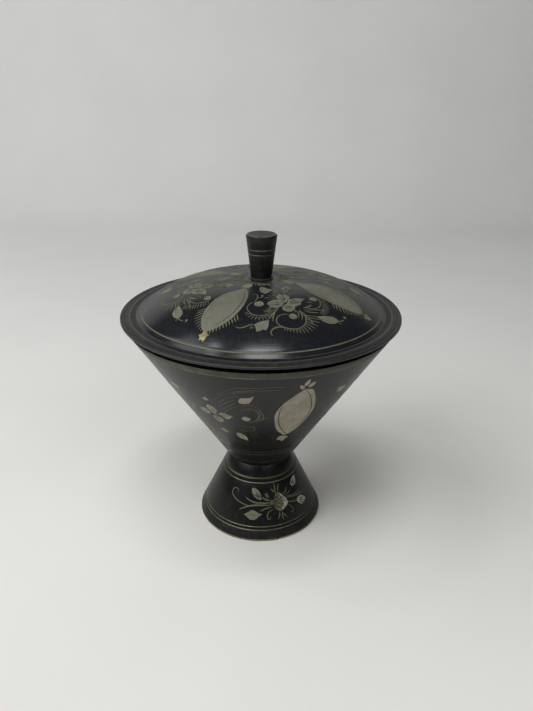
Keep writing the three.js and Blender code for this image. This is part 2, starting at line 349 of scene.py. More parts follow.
def lacquer_finish(
    name, black, thin, roughness, rings, ring_depth, scratches=0.5, shine=0.25, patchy=0.06, film=0.0
):
    """Baked black lacquer over turned brass: thin brownish places, tool rings and hair scratches.
    A film of wax and dust on it dulls what it reflects at a low angle."""
    material, tree, shader = new_surface(name)
    marks = placed_group(tree, TURNING_MARKS, Rings=rings)
    scuffs = placed_group(tree, SCUFFS, Amount=scratches)
    mottle = placed_group(tree, MOTTLE, Size=26.0)
    thinned = maths(tree, "MULTIPLY", mottle["Broad"], mottle["Fine"])
    streaked = maths(tree, "MULTIPLY", mapped(tree, marks["Height"], 0.5, 0.72), 0.6)
    colour = mixed(tree, maths(tree, "MAXIMUM", thinned, streaked), black, thin)
    colour = mixed(tree, scuffs["Specks"], colour, SPECK_GREY)
    colour = mixed(tree, maths(tree, "MULTIPLY", scuffs["Scratches"], 0.4), colour, SCRATCH_GREY)
    tree.links.new(colour, shader.inputs["Base Color"])
    shader.inputs["Specular IOR Level"].default_value = shine
    worn = maths(tree, "MULTIPLY_ADD", scuffs["Scratches"], 0.25, roughness)
    worn = maths(tree, "MULTIPLY_ADD", mottle["Fine"], patchy, worn)
    worn = maths(tree, "MULTIPLY_ADD", marks["Height"], 0.08, worn)
    if film:
        seen_from_side = new_node(tree, "ShaderNodeLayerWeight", Blend=0.5).outputs["Facing"]
        worn = maths(tree, "ADD", worn, mapped(tree, seen_from_side, 0.5, 0.95, 0.0, film))
    tree.links.new(worn, shader.inputs["Roughness"])
    height = maths(tree, "SUBTRACT", marks["Height"], maths(tree, "MULTIPLY", scuffs["Scratches"], 0.3))
    raise_bump(tree, shader, height, ring_depth * MM)
    return material


def metal_finish(name, pale, dull, roughness, rings, ring_depth, scratches=0.6, mottling=30.0):
    """Bare brass, dulled by handling, with tool rings and hair scratches."""
    material, tree, shader = new_surface(name)
    marks = placed_group(tree, TURNING_MARKS, Rings=rings)
    scuffs = placed_group(tree, SCUFFS, Amount=scratches)
    mottle = placed_group(tree, MOTTLE, Size=mottling)
    colour = mixed(tree, mottle["Broad"], pale, dull)
    stain = maths(tree, "MULTIPLY", maths(tree, "MULTIPLY", mottle["Fine"], mottle["Broad"]), 0.45)
    stained = mixed(tree, stain, colour, darker(dull, 0.45))
    tree.links.new(stained, shader.inputs["Base Color"])
    shader.inputs["Metallic"].default_value = 1.0
    worn = maths(tree, "MULTIPLY_ADD", scuffs["Scratches"], 0.2, roughness)
    worn = maths(tree, "MULTIPLY_ADD", mottle["Broad"], 0.1, worn)
    tree.links.new(worn, shader.inputs["Roughness"])
    height = maths(tree, "SUBTRACT", marks["Height"], maths(tree, "MULTIPLY", scuffs["Scratches"], 0.4))
    raise_bump(tree, shader, height, ring_depth * MM)
    return material


def worn_edge_finish(name, black, metal, bared, roughness):
    """An edge where handling has rubbed the lacquer through to brass in patches."""
    material, tree, shader = new_surface(name)
    mottle = placed_group(tree, MOTTLE, Size=120.0)
    scuffs = placed_group(tree, SCUFFS, Amount=1.0, Size=140.0)
    patches = placed_group(tree, RUBBED_PATCHES, Bared=bared)["Patches"]
    bare = maths(tree, "MAXIMUM", patches, maths(tree, "MULTIPLY", scuffs["Scratches"], 0.5))
    metal_colour = mixed(tree, mottle["Broad"], metal, darker(metal, 0.6))
    tree.links.new(mixed(tree, bare, black, metal_colour), shader.inputs["Base Color"])
    tree.links.new(bare, shader.inputs["Metallic"])
    worn = maths(tree, "MULTIPLY_ADD", mottle["Fine"], 0.12, roughness)
    tree.links.new(worn, shader.inputs["Roughness"])
    raise_bump(tree, shader, maths(tree, "SUBTRACT", mottle["Fine"], bare), 0.02 * MM)
    return material


BLACK = (0.0042, 0.0046, 0.0053, 1)
THIN_BLACK = (0.0085, 0.009, 0.0082, 1)
CUT_BRASS = (0.23, 0.22, 0.15, 1)
CUT_BRASS_DULL = (0.15, 0.142, 0.092, 1)
INSIDE_BRASS = (0.62, 0.50, 0.27, 1)
INSIDE_BRASS_DULL = (0.42, 0.33, 0.17, 1)
EDGE_BRASS = (0.42, 0.39, 0.26, 1)

lacquer = lacquer_finish(
    "black_lacquer", BLACK, THIN_BLACK, roughness=0.24, rings=700.0, ring_depth=0.006
)
cut_line = metal_finish(
    "cut_brass_line",
    CUT_BRASS,
    CUT_BRASS_DULL,
    roughness=0.5,
    rings=1500.0,
    ring_depth=0.004,
    mottling=60.0,
)
dull_line = metal_finish(
    "dull_brass_line",
    pale=(0.135, 0.122, 0.073, 1),
    dull=(0.09, 0.08, 0.046, 1),
    roughness=0.55,
    rings=1500.0,
    ring_depth=0.004,
)
inside_brass = metal_finish(
    "turned_brass", INSIDE_BRASS, INSIDE_BRASS_DULL, roughness=0.3, rings=1100.0, ring_depth=0.012
)
worn_edge = worn_edge_finish("worn_edge", THIN_BLACK, EDGE_BRASS, bared=0.85, roughness=0.42)

foot_slope = math.hypot(FOOT_BASE_RADIUS - WAIST_RADIUS, FOOT_HEIGHT)
foot_strip_up_slope = FOOT_WORN_STRIP / math.cos(FOOT_LEAN)
web_bottom = FOOT_HEIGHT - FOOT_WEB


def foot_radius(height):
    return WAIST_RADIUS + (FOOT_HEIGHT - height) * math.tan(FOOT_LEAN)


rubbed_lacquer = lacquer_finish(
    "foot_rubbed_lacquer",
    black=(0.0085, 0.0085, 0.0082, 1),
    thin=(0.018, 0.0176, 0.0164, 1),
    roughness=0.34,
    rings=1200.0,
    ring_depth=0.01,
    scratches=0.6,
)
foot_outside = straight(
    (foot_radius(FOOT_WORN_STRIP), FOOT_WORN_STRIP),
    (WAIST_RADIUS, FOOT_HEIGHT),
    [(foot_slope - foot_strip_up_slope - distance, width, cut) for distance, width, cut in FOOT_LINES],
)
foot_outside[0] = (*foot_outside[0][:2], "rubbed_lacquer")
foot_outline = [
    (foot_radius(0) - FOOT_WALL_ACROSS, 0, "worn_edge"),
    (foot_radius(0) - FOOT_EDGE_CHAMFER, 0, "worn_edge"),
    (foot_radius(FOOT_EDGE_CHAMFER), FOOT_EDGE_CHAMFER, "worn_edge"),
    *foot_outside,
    (WAIST_RADIUS, FOOT_HEIGHT, "turned_brass"),
    (REGISTER_HOLE_RADIUS, FOOT_HEIGHT, "turned_brass"),
    (REGISTER_HOLE_RADIUS, web_bottom, "turned_brass"),
    (foot_radius(web_bottom) - FOOT_WALL_ACROSS, web_bottom, "turned_brass"),
]
foot = turn_on_lathe(
    "foot_turned",
    foot_outline,
    {
        "lacquer": lacquer,
        "rubbed_lacquer": rubbed_lacquer,
        "cut_line": cut_line,
        "dull_line": dull_line,
        "turned_brass": inside_brass,
        "worn_edge": worn_edge,
    },
)
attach(foot, "base")
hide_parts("foot")

# The foot's engraving: two sprays of flowers, on opposite sides, cut through the lacquer with a
# graver so that bare brass shows. Each is drawn in the flat and laid on the cone: x to the
# right and y up, in millimetres along the slope.
SPLINE_STEPS = 12
CUT_THICKNESS = 0.16
LINE_LIFT = 0.07
SHEET_LIFT = 0.10
BLACK_LIFT = 0.13
STROKE_STEP = 1.1
PATCH_STEP = 2.0
CORNERED_STEP = 0.4
STRAIGHT_STATIONS = 61
LENGTH_STATIONS = 40
STROKE_SWELL = 0.6
FAN_ROOT_SHARE = 0.22
FAN_TIP_SHARE = 0.5
# Cuts that cross are set a hair apart, so that no two of them lie at one height.
CUT_STAGGER = 0.002
CUT_STAGGER_STEPS = 9
ENGRAVING_WELD = 0.001
FOOT_SPRAY_DOWN_SLOPE = 30
CRESCENT_STEP = 0.5


def evenly_spaced(points, count):
    """Points at even distances along the straight runs through the given ones."""
    travelled = np.concatenate([[0], np.cumsum(np.hypot(*np.diff(points, axis=0).T))])
    even = np.linspace(0, travelled[-1], count)
    return np.column_stack([np.interp(even, travelled, points[:, axis]) for axis in (0, 1)])


def smooth_path(points, count):
    """Evenly spaced points on a smooth curve through the given ones."""
    knots = np.array(points, float)
    ends = np.vstack([2 * knots[0] - knots[1], knots, 2 * knots[-1] - knots[-2]])
    t = np.linspace(0, 1, SPLINE_STEPS, endpoint=False)[:, None]
    runs = []
    for a, b, c, d in zip(ends, ends[1:], ends[2:], ends[3:]):
        bend = (2 * a - 5 * b + 4 * c - d) * t**2
        twist = (3 * b - a - 3 * c + d) * t**3
        runs.append((2 * b + (c - a) * t + bend + twist) / 2)
    return evenly_spaced(np.vstack(runs + [knots[-1:]]), count)


def straight_path(points):
    return evenly_spaced(np.array(points, float), STRAIGHT_STATIONS)


def path_length(points):
    fine = smooth_path(points, LENGTH_STATIONS)
    return np.hypot(*np.diff(fine, axis=0).T).sum()


class Drawing:
    """Gathers the cuts of one motif, each a thin patch of metal laid on a turned surface."""

    def __init__(self, name, lay_on_surface, materials):
        self.name = name
        self.lay_on_surface = lay_on_surface
        self.materials = materials
        self.cuts = []

    def patch(self, left, right, finish, lift, step=STROKE_STEP):
        """A patch between two edges that run the same way, given in either order."""
        ring = np.vstack([right, left[::-1]])
        if (ring[:, 0] * np.roll(ring[:, 1], -1) - ring[:, 1] * np.roll(ring[:, 0], -1)).sum() < 0:
            left, right = right, left
        length = max(np.hypot(*np.diff(edge, axis=0).T).sum() for edge in (left, right))
        width = np.hypot(*(left - right).T).max()
        along = max(2, math.ceil(length / step))
        across = max(1, math.ceil(width / PATCH_STEP))
        deselect_all()
        bpy.ops.mesh.primitive_grid_add(x_subdivisions=along, y_subdivisions=across, size=1)
        cut = bpy.context.object
        flat = np.empty(len(cut.data.vertices) * 3)
        cut.data.vertices.foreach_get("co", flat)
        share_along, share_across, _ = flat.reshape(-1, 3).T + 0.5
        stations = np.linspace(0, 1, len(left))
        edges = []
        for edge in (right, left):
            points = [np.interp(share_along, stations, edge[:, axis]) for axis in (0, 1)]
            edges.append(np.column_stack(points))
        drawn = edges[0] + (edges[1] - edges[0]) * share_across[:, None]
        lift = lift + CUT_STAGGER * (len(self.cuts) % CUT_STAGGER_STEPS)
        laid = [self.lay_on_surface(x, y, lift) for x, y in drawn]
        cut.data.vertices.foreach_set("co", np.array(laid).ravel() * MM)
        cut.data.materials.append(self.materials[finish])
        self.cuts.append(cut)

    def stroke(self, points, width, finish="line", taper=(0.35, 0.15), lift=LINE_LIFT):
        """A graver stroke along a curve: it swells in the middle and thins at each end."""
        count = max(5, math.ceil(path_length(points) / STROKE_STEP) + 1)
        middle = smooth_path(points, count)
        across = np.gradient(middle, axis=0)
        across = np.column_stack([-across[:, 1], across[:, 0]]) / np.hypot(*across.T)[:, None]
        t = np.linspace(0, 1, count)
        ends = taper[0] + (taper[1] - taper[0]) * t
        half = width / 2 * (ends + (1 - ends) * np.sin(math.pi * t) ** STROKE_SWELL)
        self.patch(middle + across * half[:, None], middle - across * half[:, None], finish, lift)

    def nick(self, start, end, width, finish="line", taper=(0.35, 0.15), lift=LINE_LIFT):
        """A short straight stroke."""
        start, end = np.array(start, float), np.array(end, float)
        self.stroke([start, (start + end) / 2, end], width, finish, taper, lift)

    def leaf(self, base, tip, width, finish="sheet", widest=0.45, fullness=0.8, lift=SHEET_LIFT):
        """A leaf or petal between two points, round where its fullness is 0.5."""
        base, tip = np.array(base, float), np.array(tip, float)
        along = tip - base
        sideways = np.array([-along[1], along[0]]) / math.hypot(*along)
        count = max(9, math.ceil(math.hypot(*along) / STROKE_STEP) * 2 + 1)
        t = np.linspace(0, 1, count)
        middle = base + along * t[:, None]
        skew = math.log(0.5) / math.log(widest)
        half = width / 2 * np.sin(math.pi * t**skew) ** fullness
        self.patch(middle + sideways * half[:, None], middle - sideways * half[:, None], finish, lift)

    def shape(self, base, one_side, other_side, tip, finish="sheet", lift=SHEET_LIFT):
        """A leaf or petal with corners, given by the points down each of its sides."""
        edges = [straight_path([base, *side, tip]) for side in (one_side, other_side)]
        self.patch(*edges, finish, lift, step=CORNERED_STEP)

    def dot(self, centre, radius, finish="sheet", lift=SHEET_LIFT):
        low, high = (centre[0], centre[1] - radius), (centre[0], centre[1] + radius)
        self.leaf(low, high, 2 * radius, finish, widest=0.5, fullness=0.5, lift=lift)

    def fringe(self, points, count, length, lean, width, side=1, finish="line"):
        """Short comb strokes that stand on a curve's left (1) or right (-1), leaning forwards."""
        feet = smooth_path(points, count)
        forwards = np.gradient(feet, axis=0)
        forwards /= np.hypot(*forwards.T)[:, None]
        lengths = np.interp(np.linspace(0, 1, count), np.linspace(0, 1, len(length)), length)
        for foot_point, ahead, reach in zip(feet, forwards, lengths):
            outward = side * np.array([-ahead[1], ahead[0]])
            tip = foot_point + reach * (outward * math.cos(lean) + ahead * math.sin(lean))
            self.nick(foot_point, tip, width, finish, taper=(0.8, 0.2))

    def fan(self, base, tip, spread, count, width=0.5):
        """Short dark cuts in a petal or leaf, fanned from its base and of uneven length."""
        base, tip = np.array(base, float), np.array(tip, float)
        along = tip - base
        sideways = np.array([-along[1], along[0]]) / math.hypot(*along)
        for number, share in enumerate(np.linspace(-1, 1, count)):
            stagger = number % 2
            begins = 0.05 + 0.12 * stagger
            stops = 0.66 + 0.2 * stagger - 0.16 * share**2
            start = base + along * begins + sideways * spread * share * FAN_ROOT_SHARE
            end = base + along * stops + sideways * spread * share * FAN_TIP_SHARE
            self.nick(start, end, width, "black", taper=(0.9, 0.2), lift=BLACK_LIFT)

    def finished(self, body):
        """Joins the cuts, gives them their thickness and names the piece."""
        deselect_all()
        for cut in self.cuts:
            cut.select_set(True)
        bpy.context.view_layer.objects.active = self.cuts[0]
        bpy.ops.object.join()
        piece = bpy.context.object
        name_piece(piece, self.name)
        bpy.ops.object.mode_set(mode="EDIT")
        bpy.ops.mesh.select_all(action="SELECT")
        bpy.ops.mesh.remove_doubles(threshold=ENGRAVING_WELD * MM)
        bpy.ops.object.mode_set(mode="OBJECT")
        thick = piece.modifiers.new("thickness", "SOLIDIFY")
        thick.thickness = CUT_THICKNESS * MM
        thick.offset = -1
        apply_modifiers(piece)
        shade_smooth(piece)
        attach(piece, body)
        return piece


def turned_copy(piece, name, angle, body):
    """A copy of a finished motif, turned round the bowl's axis."""
    select_only(piece)
    bpy.ops.object.duplicate(linked=False)
    copy = bpy.context.object
    name_piece(copy, name)
    copy.rotation_euler = (0, 0, angle)
    bpy.ops.object.transform_apply(location=True, rotation=True, scale=True)
    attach(copy, body)


def repeat_round(motifs, count, body):
    """Copies of finished motifs, spaced evenly round the axis and numbered from 2."""
    for turn in range(1, count):
        for piece, name in motifs:
            turned_copy(piece, f"{name}_{turn + 1}", math.tau * turn / count, body)


def lay_on_cone(apex_height, lean, opens, azimuth, distance):
    """Rolls a flat drawing round a cone. The cone opens upwards (1) or downwards (-1)."""

    def lay(x, y, lift):
        down_slope = distance + opens * y
        reach = math.hypot(x, down_slope)
        angle = azimuth + math.atan2(x, down_slope) / math.sin(lean)
        radius = reach * math.sin(lean) + lift * math.cos(lean)
        height = apex_height + opens * (reach * math.cos(lean) - lift * math.sin(lean))
        return radius * math.sin(angle), -radius * math.cos(angle), height

    return lay


def graver_marks_group():
    """Short scraping marks of a graver, long one way and narrow the other."""
    tree, given, put_out = new_group("graver_marks", {"Lines": 900.0}, {"Height": "NodeSocketFloat"})
    lay = new_node(
        tree, "ShaderNodeMapping", Vector=own_place(tree), Rotation=(0.2, 0.3, 0.7), Scale=(1, 7, 2)
    )
    marks = noise_value(tree, lay.outputs[0], given["Lines"], 3.0, 0.6, 0.3)
    tree.links.new(marks, put_out["Height"])
    return tree


GRAVER_MARKS = graver_marks_group()


def scraped_metal(name, pale, dull, roughness, lines, line_depth, metallic=0.25):
    """Metal bared by a graver: short scraping marks, tarnish in patches, and a satin shine."""
    material, tree, shader = new_surface(name)
    mottle = placed_group(tree, MOTTLE, Size=70.0)
    scuffs = placed_group(tree, SCUFFS, Amount=0.8, Size=160.0)
    scrape = placed_group(tree, GRAVER_MARKS, Lines=lines)["Height"]
    colour = mixed(tree, mottle["Broad"], pale, dull)
    stain = maths(tree, "MULTIPLY", mottle["Fine"], 0.35)
    colour = mixed(tree, stain, colour, darker(dull, 0.6))
    tree.links.new(colour, shader.inputs["Base Color"])
    shader.inputs["Metallic"].default_value = metallic
    rough = maths(tree, "MULTIPLY_ADD", scrape, 0.15, roughness)
    rough = maths(tree, "MULTIPLY_ADD", scuffs["Scratches"], 0.1, rough)
    tree.links.new(rough, shader.inputs["Roughness"])
    raise_bump(tree, shader, scrape, line_depth * MM)
    return material


engraved_sheet = scraped_metal(
    "engraved_sheet",
    pale=(0.206, 0.203, 0.15, 1),
    dull=(0.162, 0.159, 0.114, 1),
    roughness=0.6,
    lines=900.0,
    line_depth=0.05,
)
engraved_line = scraped_metal(
    "engraved_line",
    pale=(0.157, 0.155, 0.092, 1),
    dull=(0.112, 0.109, 0.062, 1),
    roughness=0.56,
    lines=1400.0,
    line_depth=0.03,
)
black_in_cut = lacquer_finish(
    "black_line_in_cut",
    black=(0.012, 0.0115, 0.01, 1),
    thin=(0.024, 0.022, 0.018, 1),
    roughness=0.42,
    rings=900.0,
    ring_depth=0.01,
)
# A paler, more metallic copy of the bared metal: a painted glint, for cuts on the side a lamp catches.
painted_glint_cut = scraped_metal(
    "painted_glint_cut",
    pale=(0.5, 0.485, 0.4, 1),
    dull=(0.37, 0.355, 0.285, 1),
    roughness=0.5,
    lines=900.0,
    line_depth=0.05,
    metallic=0.4,
)
ENGRAVING = {
    "sheet": engraved_sheet,
    "line": engraved_line,
    "black": black_in_cut,
    "bright": painted_glint_cut,
}

foot_apex = FOOT_HEIGHT + WAIST_RADIUS / math.tan(FOOT_LEAN)
foot_spray_reach = WAIST_RADIUS / math.sin(FOOT_LEAN) + FOOT_SPRAY_DOWN_SLOPE
spray = Drawing("foot_spray_1", lay_on_cone(foot_apex, FOOT_LEAN, -1, 0, foot_spray_reach), ENGRAVING)

# The flower: a dull striped head like a thistle's, with one petal round its right side made
# bright by a painted glint.
spray.shape(
    (14.2, -1.7),
    [(11.4, -0.2), (9.5, 2.3), (9.5, 6.4), (10.2, 10)],
    [(17, -0.2), (18.1, 2.5), (17.1, 6.3), (15, 9.7)],
    (12.2, 11.9),
    "line",
    LINE_LIFT,
)
spray.shape((7.1, 3.3), [(7.1, 6.5)], [(11, 1.7)], (10.5, 6.8), "line", LINE_LIFT)
crescent_edges = [
    [(13, 11.4), (16.1, 9.3), (18.7, 6.9), (20.1, 4.3), (19.3, 2.2), (17.4, 0.5), (15.3, -1)],
    [(13, 11.4), (14.4, 9.3), (15.8, 7.2), (16.7, 4.6), (16.4, 2.4), (15.8, 0.6), (15.3, -1)],
]
outer_edge, inner_edge = (smooth_path(edge, STRAIGHT_STATIONS) for edge in crescent_edges)
spray.patch(outer_edge, inner_edge, "bright", SHEET_LIFT, step=CRESCENT_STEP)
spray.fan((7.6, 4.6), (15.6, 4.6), 11, 8, 0.5)
spray.fan((12.4, 4.8), (20.6, 4.6), 13, 6, 0.4)
spray.stroke([(10.9, 9.4), (11.8, 8), (12.2, 6.2)], 0.42, "black", lift=BLACK_LIFT)
spray.stroke([(15.4, 8.4), (17.2, 6.4), (18, 4.4)], 0.36, "black", lift=BLACK_LIFT)

# A bud with three veins, on a stem, made pale by a painted glint.
spray.stroke([(19.8, 4.4), (24.4, 4.4), (28.5, 4.4)], 0.8, taper=(0.9, 0.9))
spray.shape(
    (28.2, 4.6),
    [(29.2, 6.6), (33, 7.8), (36.9, 6.6)],
    [(29.4, 3.2), (31.4, 1.9), (33.4, 1.5), (35.7, 2.9)],
    (38.1, 4.9),
    "bright",
)
for start, end in (((30.6, 5.8), (35.3, 6.1)), ((30.1, 4.5), (35.8, 4.6)), ((31, 3.1), (35, 3.2))):
    spray.nick(start, end, 0.7, "black", lift=BLACK_LIFT)

# The leaves, with dark cuts in them; the one at the upper right is pale with a painted glint.
spray.shape(
    (0.5, 6.5),
    [(0.6, 8.5), (0.1, 11), (-1.7, 13.5), (-3.8, 14.9)],
    [(-2.2, 7.4), (-4.3, 8.9), (-5.8, 11.6), (-6, 14.1)],
    (-5.7, 14.9),
)
spray.fan((-0.2, 7.6), (-4.6, 13.6), 3.4, 4, 0.5)
spray.shape(
    (24.1, 15),
    [(22.7, 16.6), (23.7, 19.3), (25.9, 21.7)],
    [(26, 15.1), (28.2, 16.7), (28.2, 19.5)],
    (27.4, 22.5),
    "bright",
)
spray.fan((24.6, 15.6), (26.6, 21.4), 3.2, 3, 0.75)
spray.shape((5.3, 7.9), [(4.3, 8.2), (3.1, 9.9)], [(5.5, 9.3), (4.8, 10.9)], (3.1, 11.4), "line")
spray.shape(
    (1.2, -3.2),
    [(-1.7, -2.3), (-4, -0.8), (-6.3, -0.3), (-8.7, -1.9)],
    [(-1.2, -4.7), (-2.6, -6.2), (-4.9, -7.3), (-7.5, -6.9), (-9.6, -5)],
    (-11.6, -3.6),
)
spray.stroke([(-0.6, -3.5), (-4, -3.8), (-8, -4)], 0.3, "black", lift=BLACK_LIFT)

# Stems and the large curl on the left, roots and small curls below, bristles above and plumes on
# the right: the points of each and its width.
foot_strokes = [
    ([(-10.4, 8.4), (-7.8, 6.5), (-4, 4.9), (0.6, 4.5), (6.2, 4.5), (9.5, 5)], 1.0),
    ([(1.3, 8.5), (2.7, 7.3), (4.8, 6.4), (7.1, 6.3)], 1.1),
    ([(-15, -0.2), (-11.6, 1.2), (-7.3, 2.5), (-1.7, 3), (7.6, 2.9)], 1.2),
    (
        [
            (-7.3, 2.4), (-11.6, 3.5), (-15.6, 5.3), (-18.9, 7.7), (-20.7, 10.3), (-20.5, 12.9),
            (-18.6, 14.4), (-16.4, 13.9), (-15.5, 12.4), (-16.9, 11.6),
        ],
        0.75,
    ),
    ([(-0.1, -1.1), (2.5, 0.2), (5.2, 1.1), (8.1, 1.4)], 0.95),
    (
        [
            (9.5, -0.1), (7.1, -0.8), (5.2, -2.6), (4.8, -4.9), (5.5, -7), (7.1, -6.6), (7.1, -5),
            (6.2, -4.9),
        ],
        0.75,
    ),
    ([(13.6, -1.7), (13.6, -4.5), (12.6, -7.1)], 0.75),
    ([(15.5, -1.9), (15.9, -4.6), (16.6, -7.7)], 0.75),
    ([(16.2, -3), (18.5, -5.1), (19.8, -6.4)], 0.7),
    ([(20, 2.8), (22.8, 1.1), (24.7, -1.2), (23.8, -2.9), (22.1, -2)], 0.6),
    ([(9, 18.3), (9.8, 16), (10, 13.2), (10.8, 10.9)], 0.85),
    ([(12.8, 17.6), (12.2, 14.9), (12.2, 11.5)], 0.7),
    ([(6.9, 14.1), (8.3, 13.1), (10, 11.2)], 1.0),
    ([(15.8, 10.1), (18.3, 11.9), (19.1, 15.3)], 0.7),
    ([(17.4, 9), (20.5, 10.5), (22.6, 13.3)], 0.6),
    ([(18.8, 8.2), (24, 8.8), (28.8, 10.4), (31.8, 12.6)], 0.75),
    ([(19.3, 7.4), (26.5, 7.9), (32.4, 9.3), (38.4, 11.5)], 0.7),
    ([(20.4, 7.7), (25.2, 8.1), (30.1, 9.1), (34.4, 11)], 0.5),
]
for points, width in foot_strokes:
    spray.stroke(points, width)
foot_spray = spray.finished("base")
repeat_round([(foot_spray, "foot_spray")], 2, "base")

# The bowl: a cone of turned brass standing on the waist, lacquered black outside and bare inside.
# It has a thick floor, a boss below that registers in the foot, and at its mouth a square shoulder
# with an upstand that the lid sits on.
bowl_low, bowl_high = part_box("bowl")
LIP_RADIUS = bowl_high.x / MM
SEAT_HEIGHT = bowl_high.z / MM
BOSS_BOTTOM = bowl_low.z / MM
UPSTAND_HEIGHT = 3.4
LIP_HEIGHT = SEAT_HEIGHT - UPSTAND_HEIGHT
BOWL_WALL = 2
BOWL_FLOOR = 5
FLOOR_FILLET = 6
FLOOR_FILLET_STEPS = 8
SHOULDER_WIDTH = 4.4
UPSTAND_WALL = 2
BOSS_RADIUS = 7
STUD_RADIUS = 3
STUD_CLEARANCE = 0.1
STUD_HOLE_DEPTH = 6.4
BOWL_LEAN = math.atan2(LIP_RADIUS - WAIST_RADIUS, LIP_HEIGHT - FOOT_HEIGHT)
BOWL_WALL_ACROSS = BOWL_WALL / math.cos(BOWL_LEAN)
bowl_slope = math.hypot(LIP_RADIUS - WAIST_RADIUS, LIP_HEIGHT - FOOT_HEIGHT)
LIP_BAND = 5.6
# Distance up the slope from the waist, width and finish of each line.
BOWL_LINES = [
    (7, 0.35, "dull_line"),
    (18.8, 0.5, "dull_line"),
    (23, 0.45, "dull_line"),
    (bowl_slope - LIP_BAND, 0.6, "cut_line"),
]


def bowl_inside_radius(height):
    return WAIST_RADIUS + (height - FOOT_HEIGHT) * math.tan(BOWL_LEAN) - BOWL_WALL_ACROSS


def floor_fillet():
    """The hollow corner between the bowl's inside cone and its floor, from the cone down."""
    floor = FOOT_HEIGHT + BOWL_FLOOR
    start = Vector((bowl_inside_radius(floor + FLOOR_FILLET), floor + FLOOR_FILLET))
    corner = Vector((bowl_inside_radius(floor), floor))
    end = Vector((bowl_inside_radius(floor) - FLOOR_FILLET, floor))
    points = []
    for step in range(FLOOR_FILLET_STEPS + 1):
        t = step / FLOOR_FILLET_STEPS
        points.append((*(start * (1 - t) ** 2 + corner * 2 * t * (1 - t) + end * t**2), "turned_brass"))
    return points


lip_band = lacquer_finish(
    "lip_band_lacquer",
    black=(0.034, 0.032, 0.024, 1),
    thin=(0.075, 0.069, 0.05, 1),
    roughness=0.42,
    rings=2600.0,
    ring_depth=0.02,
    scratches=0.8,
)
mouth = LIP_RADIUS - SHOULDER_WIDTH - UPSTAND_WALL
mouth_bottom = FOOT_HEIGHT + (mouth + BOWL_WALL_ACROSS - WAIST_RADIUS) / math.tan(BOWL_LEAN)
bowl_outside = straight((WAIST_RADIUS, FOOT_HEIGHT), (LIP_RADIUS, LIP_HEIGHT), BOWL_LINES)
bowl_outside[-1] = (*bowl_outside[-1][:2], "lip_band")
stud_hole = STUD_RADIUS + STUD_CLEARANCE
stud_hole_top = BOSS_BOTTOM + STUD_HOLE_DEPTH
bowl_outline = [
    (0, stud_hole_top, "turned_brass"),
    (stud_hole, stud_hole_top, "turned_brass"),
    (stud_hole, BOSS_BOTTOM, "turned_brass"),
    (BOSS_RADIUS, BOSS_BOTTOM, "turned_brass"),
    (BOSS_RADIUS, FOOT_HEIGHT, "turned_brass"),
    *bowl_outside,
    (LIP_RADIUS, LIP_HEIGHT, "lacquer"),
    (mouth + UPSTAND_WALL, LIP_HEIGHT, "lacquer"),
    (mouth + UPSTAND_WALL, SEAT_HEIGHT, "lacquer"),
    (mouth, SEAT_HEIGHT, "turned_brass"),
    (mouth, mouth_bottom, "turned_brass"),
    *floor_fillet(),
    (0, FOOT_HEIGHT + BOWL_FLOOR, "turned_brass"),
]
bowl = turn_on_lathe(
    "bowl_turned",
    bowl_outline,
    {
        "lacquer": lacquer,
        "cut_line": cut_line,
        "dull_line": dull_line,
        "turned_brass": inside_brass,
        "lip_band": lip_band,
    },
)
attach(bowl, "base")
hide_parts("bowl")

# The bowl's engraving: four pale almond leaves, and between them four sprays with an open flower,
# cut through the lacquer with a graver. It is more worn than the lid's, and the thinnest strokes
# are nearly gone.
BOWL_LEAF_AZIMUTH = math.radians(18.5)
BOWL_LEAF_UP_SLOPE = 74.7
BOWL_SPRAY_AZIMUTH = math.radians(-27.7)
BOWL_SPRAY_UP_SLOPE = 70
bowl_apex = FOOT_HEIGHT - WAIST_RADIUS / math.tan(BOWL_LEAN)
waist_reach = WAIST_RADIUS / math.sin(BOWL_LEAN)

# Paler and warmer than the lid's sheet: painted light, from the floor that lights the cone below.
bowl_sheet_painted_light = scraped_metal(
    "bowl_leaf_metal_painted_light",
    pale=(0.345, 0.325, 0.25, 1),
    dull=(0.275, 0.257, 0.192, 1),
    roughness=0.6,
    lines=800.0,
    line_depth=0.05,
)
worn_line = scraped_metal(
    "worn_thin_line",
    pale=(0.135, 0.126, 0.08, 1),
    dull=(0.09, 0.084, 0.054, 1),
    roughness=0.6,
    lines=1400.0,
    line_depth=0.03,
)
BOWL_ENGRAVING = {**ENGRAVING, "sheet": bowl_sheet_painted_light, "worn": worn_line}

almond = Drawing(
    "bowl_leaf_1",
    lay_on_cone(bowl_apex, BOWL_LEAN, 1, BOWL_LEAF_AZIMUTH, waist_reach + BOWL_LEAF_UP_SLOPE),
    BOWL_ENGRAVING,
)
EDGE_STATIONS = 41
almond_left = smooth_path(
    [
        (-0.2, -28.6), (-2.5, -26), (-7, -20), (-9.7, -12), (-11.6, -4), (-12, 2), (-11, 8),
        (-9, 14), (-6, 19), (-2.8, 24), (0, 27.2),
    ],
    EDGE_STATIONS,
)
almond_right = smooth_path(
    [
        (0.2, -28.6), (4, -25.4), (7.4, -20.6), (10, -14), (12, -6), (12.6, 0), (12, 6),
        (10.3, 13), (8, 20), (5, 26), (0.2, 27.2),
    ],
    EDGE_STATIONS,
)
almond.patch(almond_left, almond_right, "sheet", SHEET_LIFT)
almond_borders = [
    [
        (-9.3, 10), (-10, 5), (-9.5, 0), (-9, -5), (-8, -9), (-6.5, -14), (-4.5, -18.5), (-2, -23),
        (0.5, -28), (2.2, -31.5),
    ],
    [(1, 26), (5, 19.5), (7, 14), (9, 8), (10.2, 2), (10.5, -5), (9, -12), (6.6, -18)],
]
for border in almond_borders:
    almond.stroke(border, 0.55, "black", taper=(0.4, 0.4), lift=BLACK_LIFT)
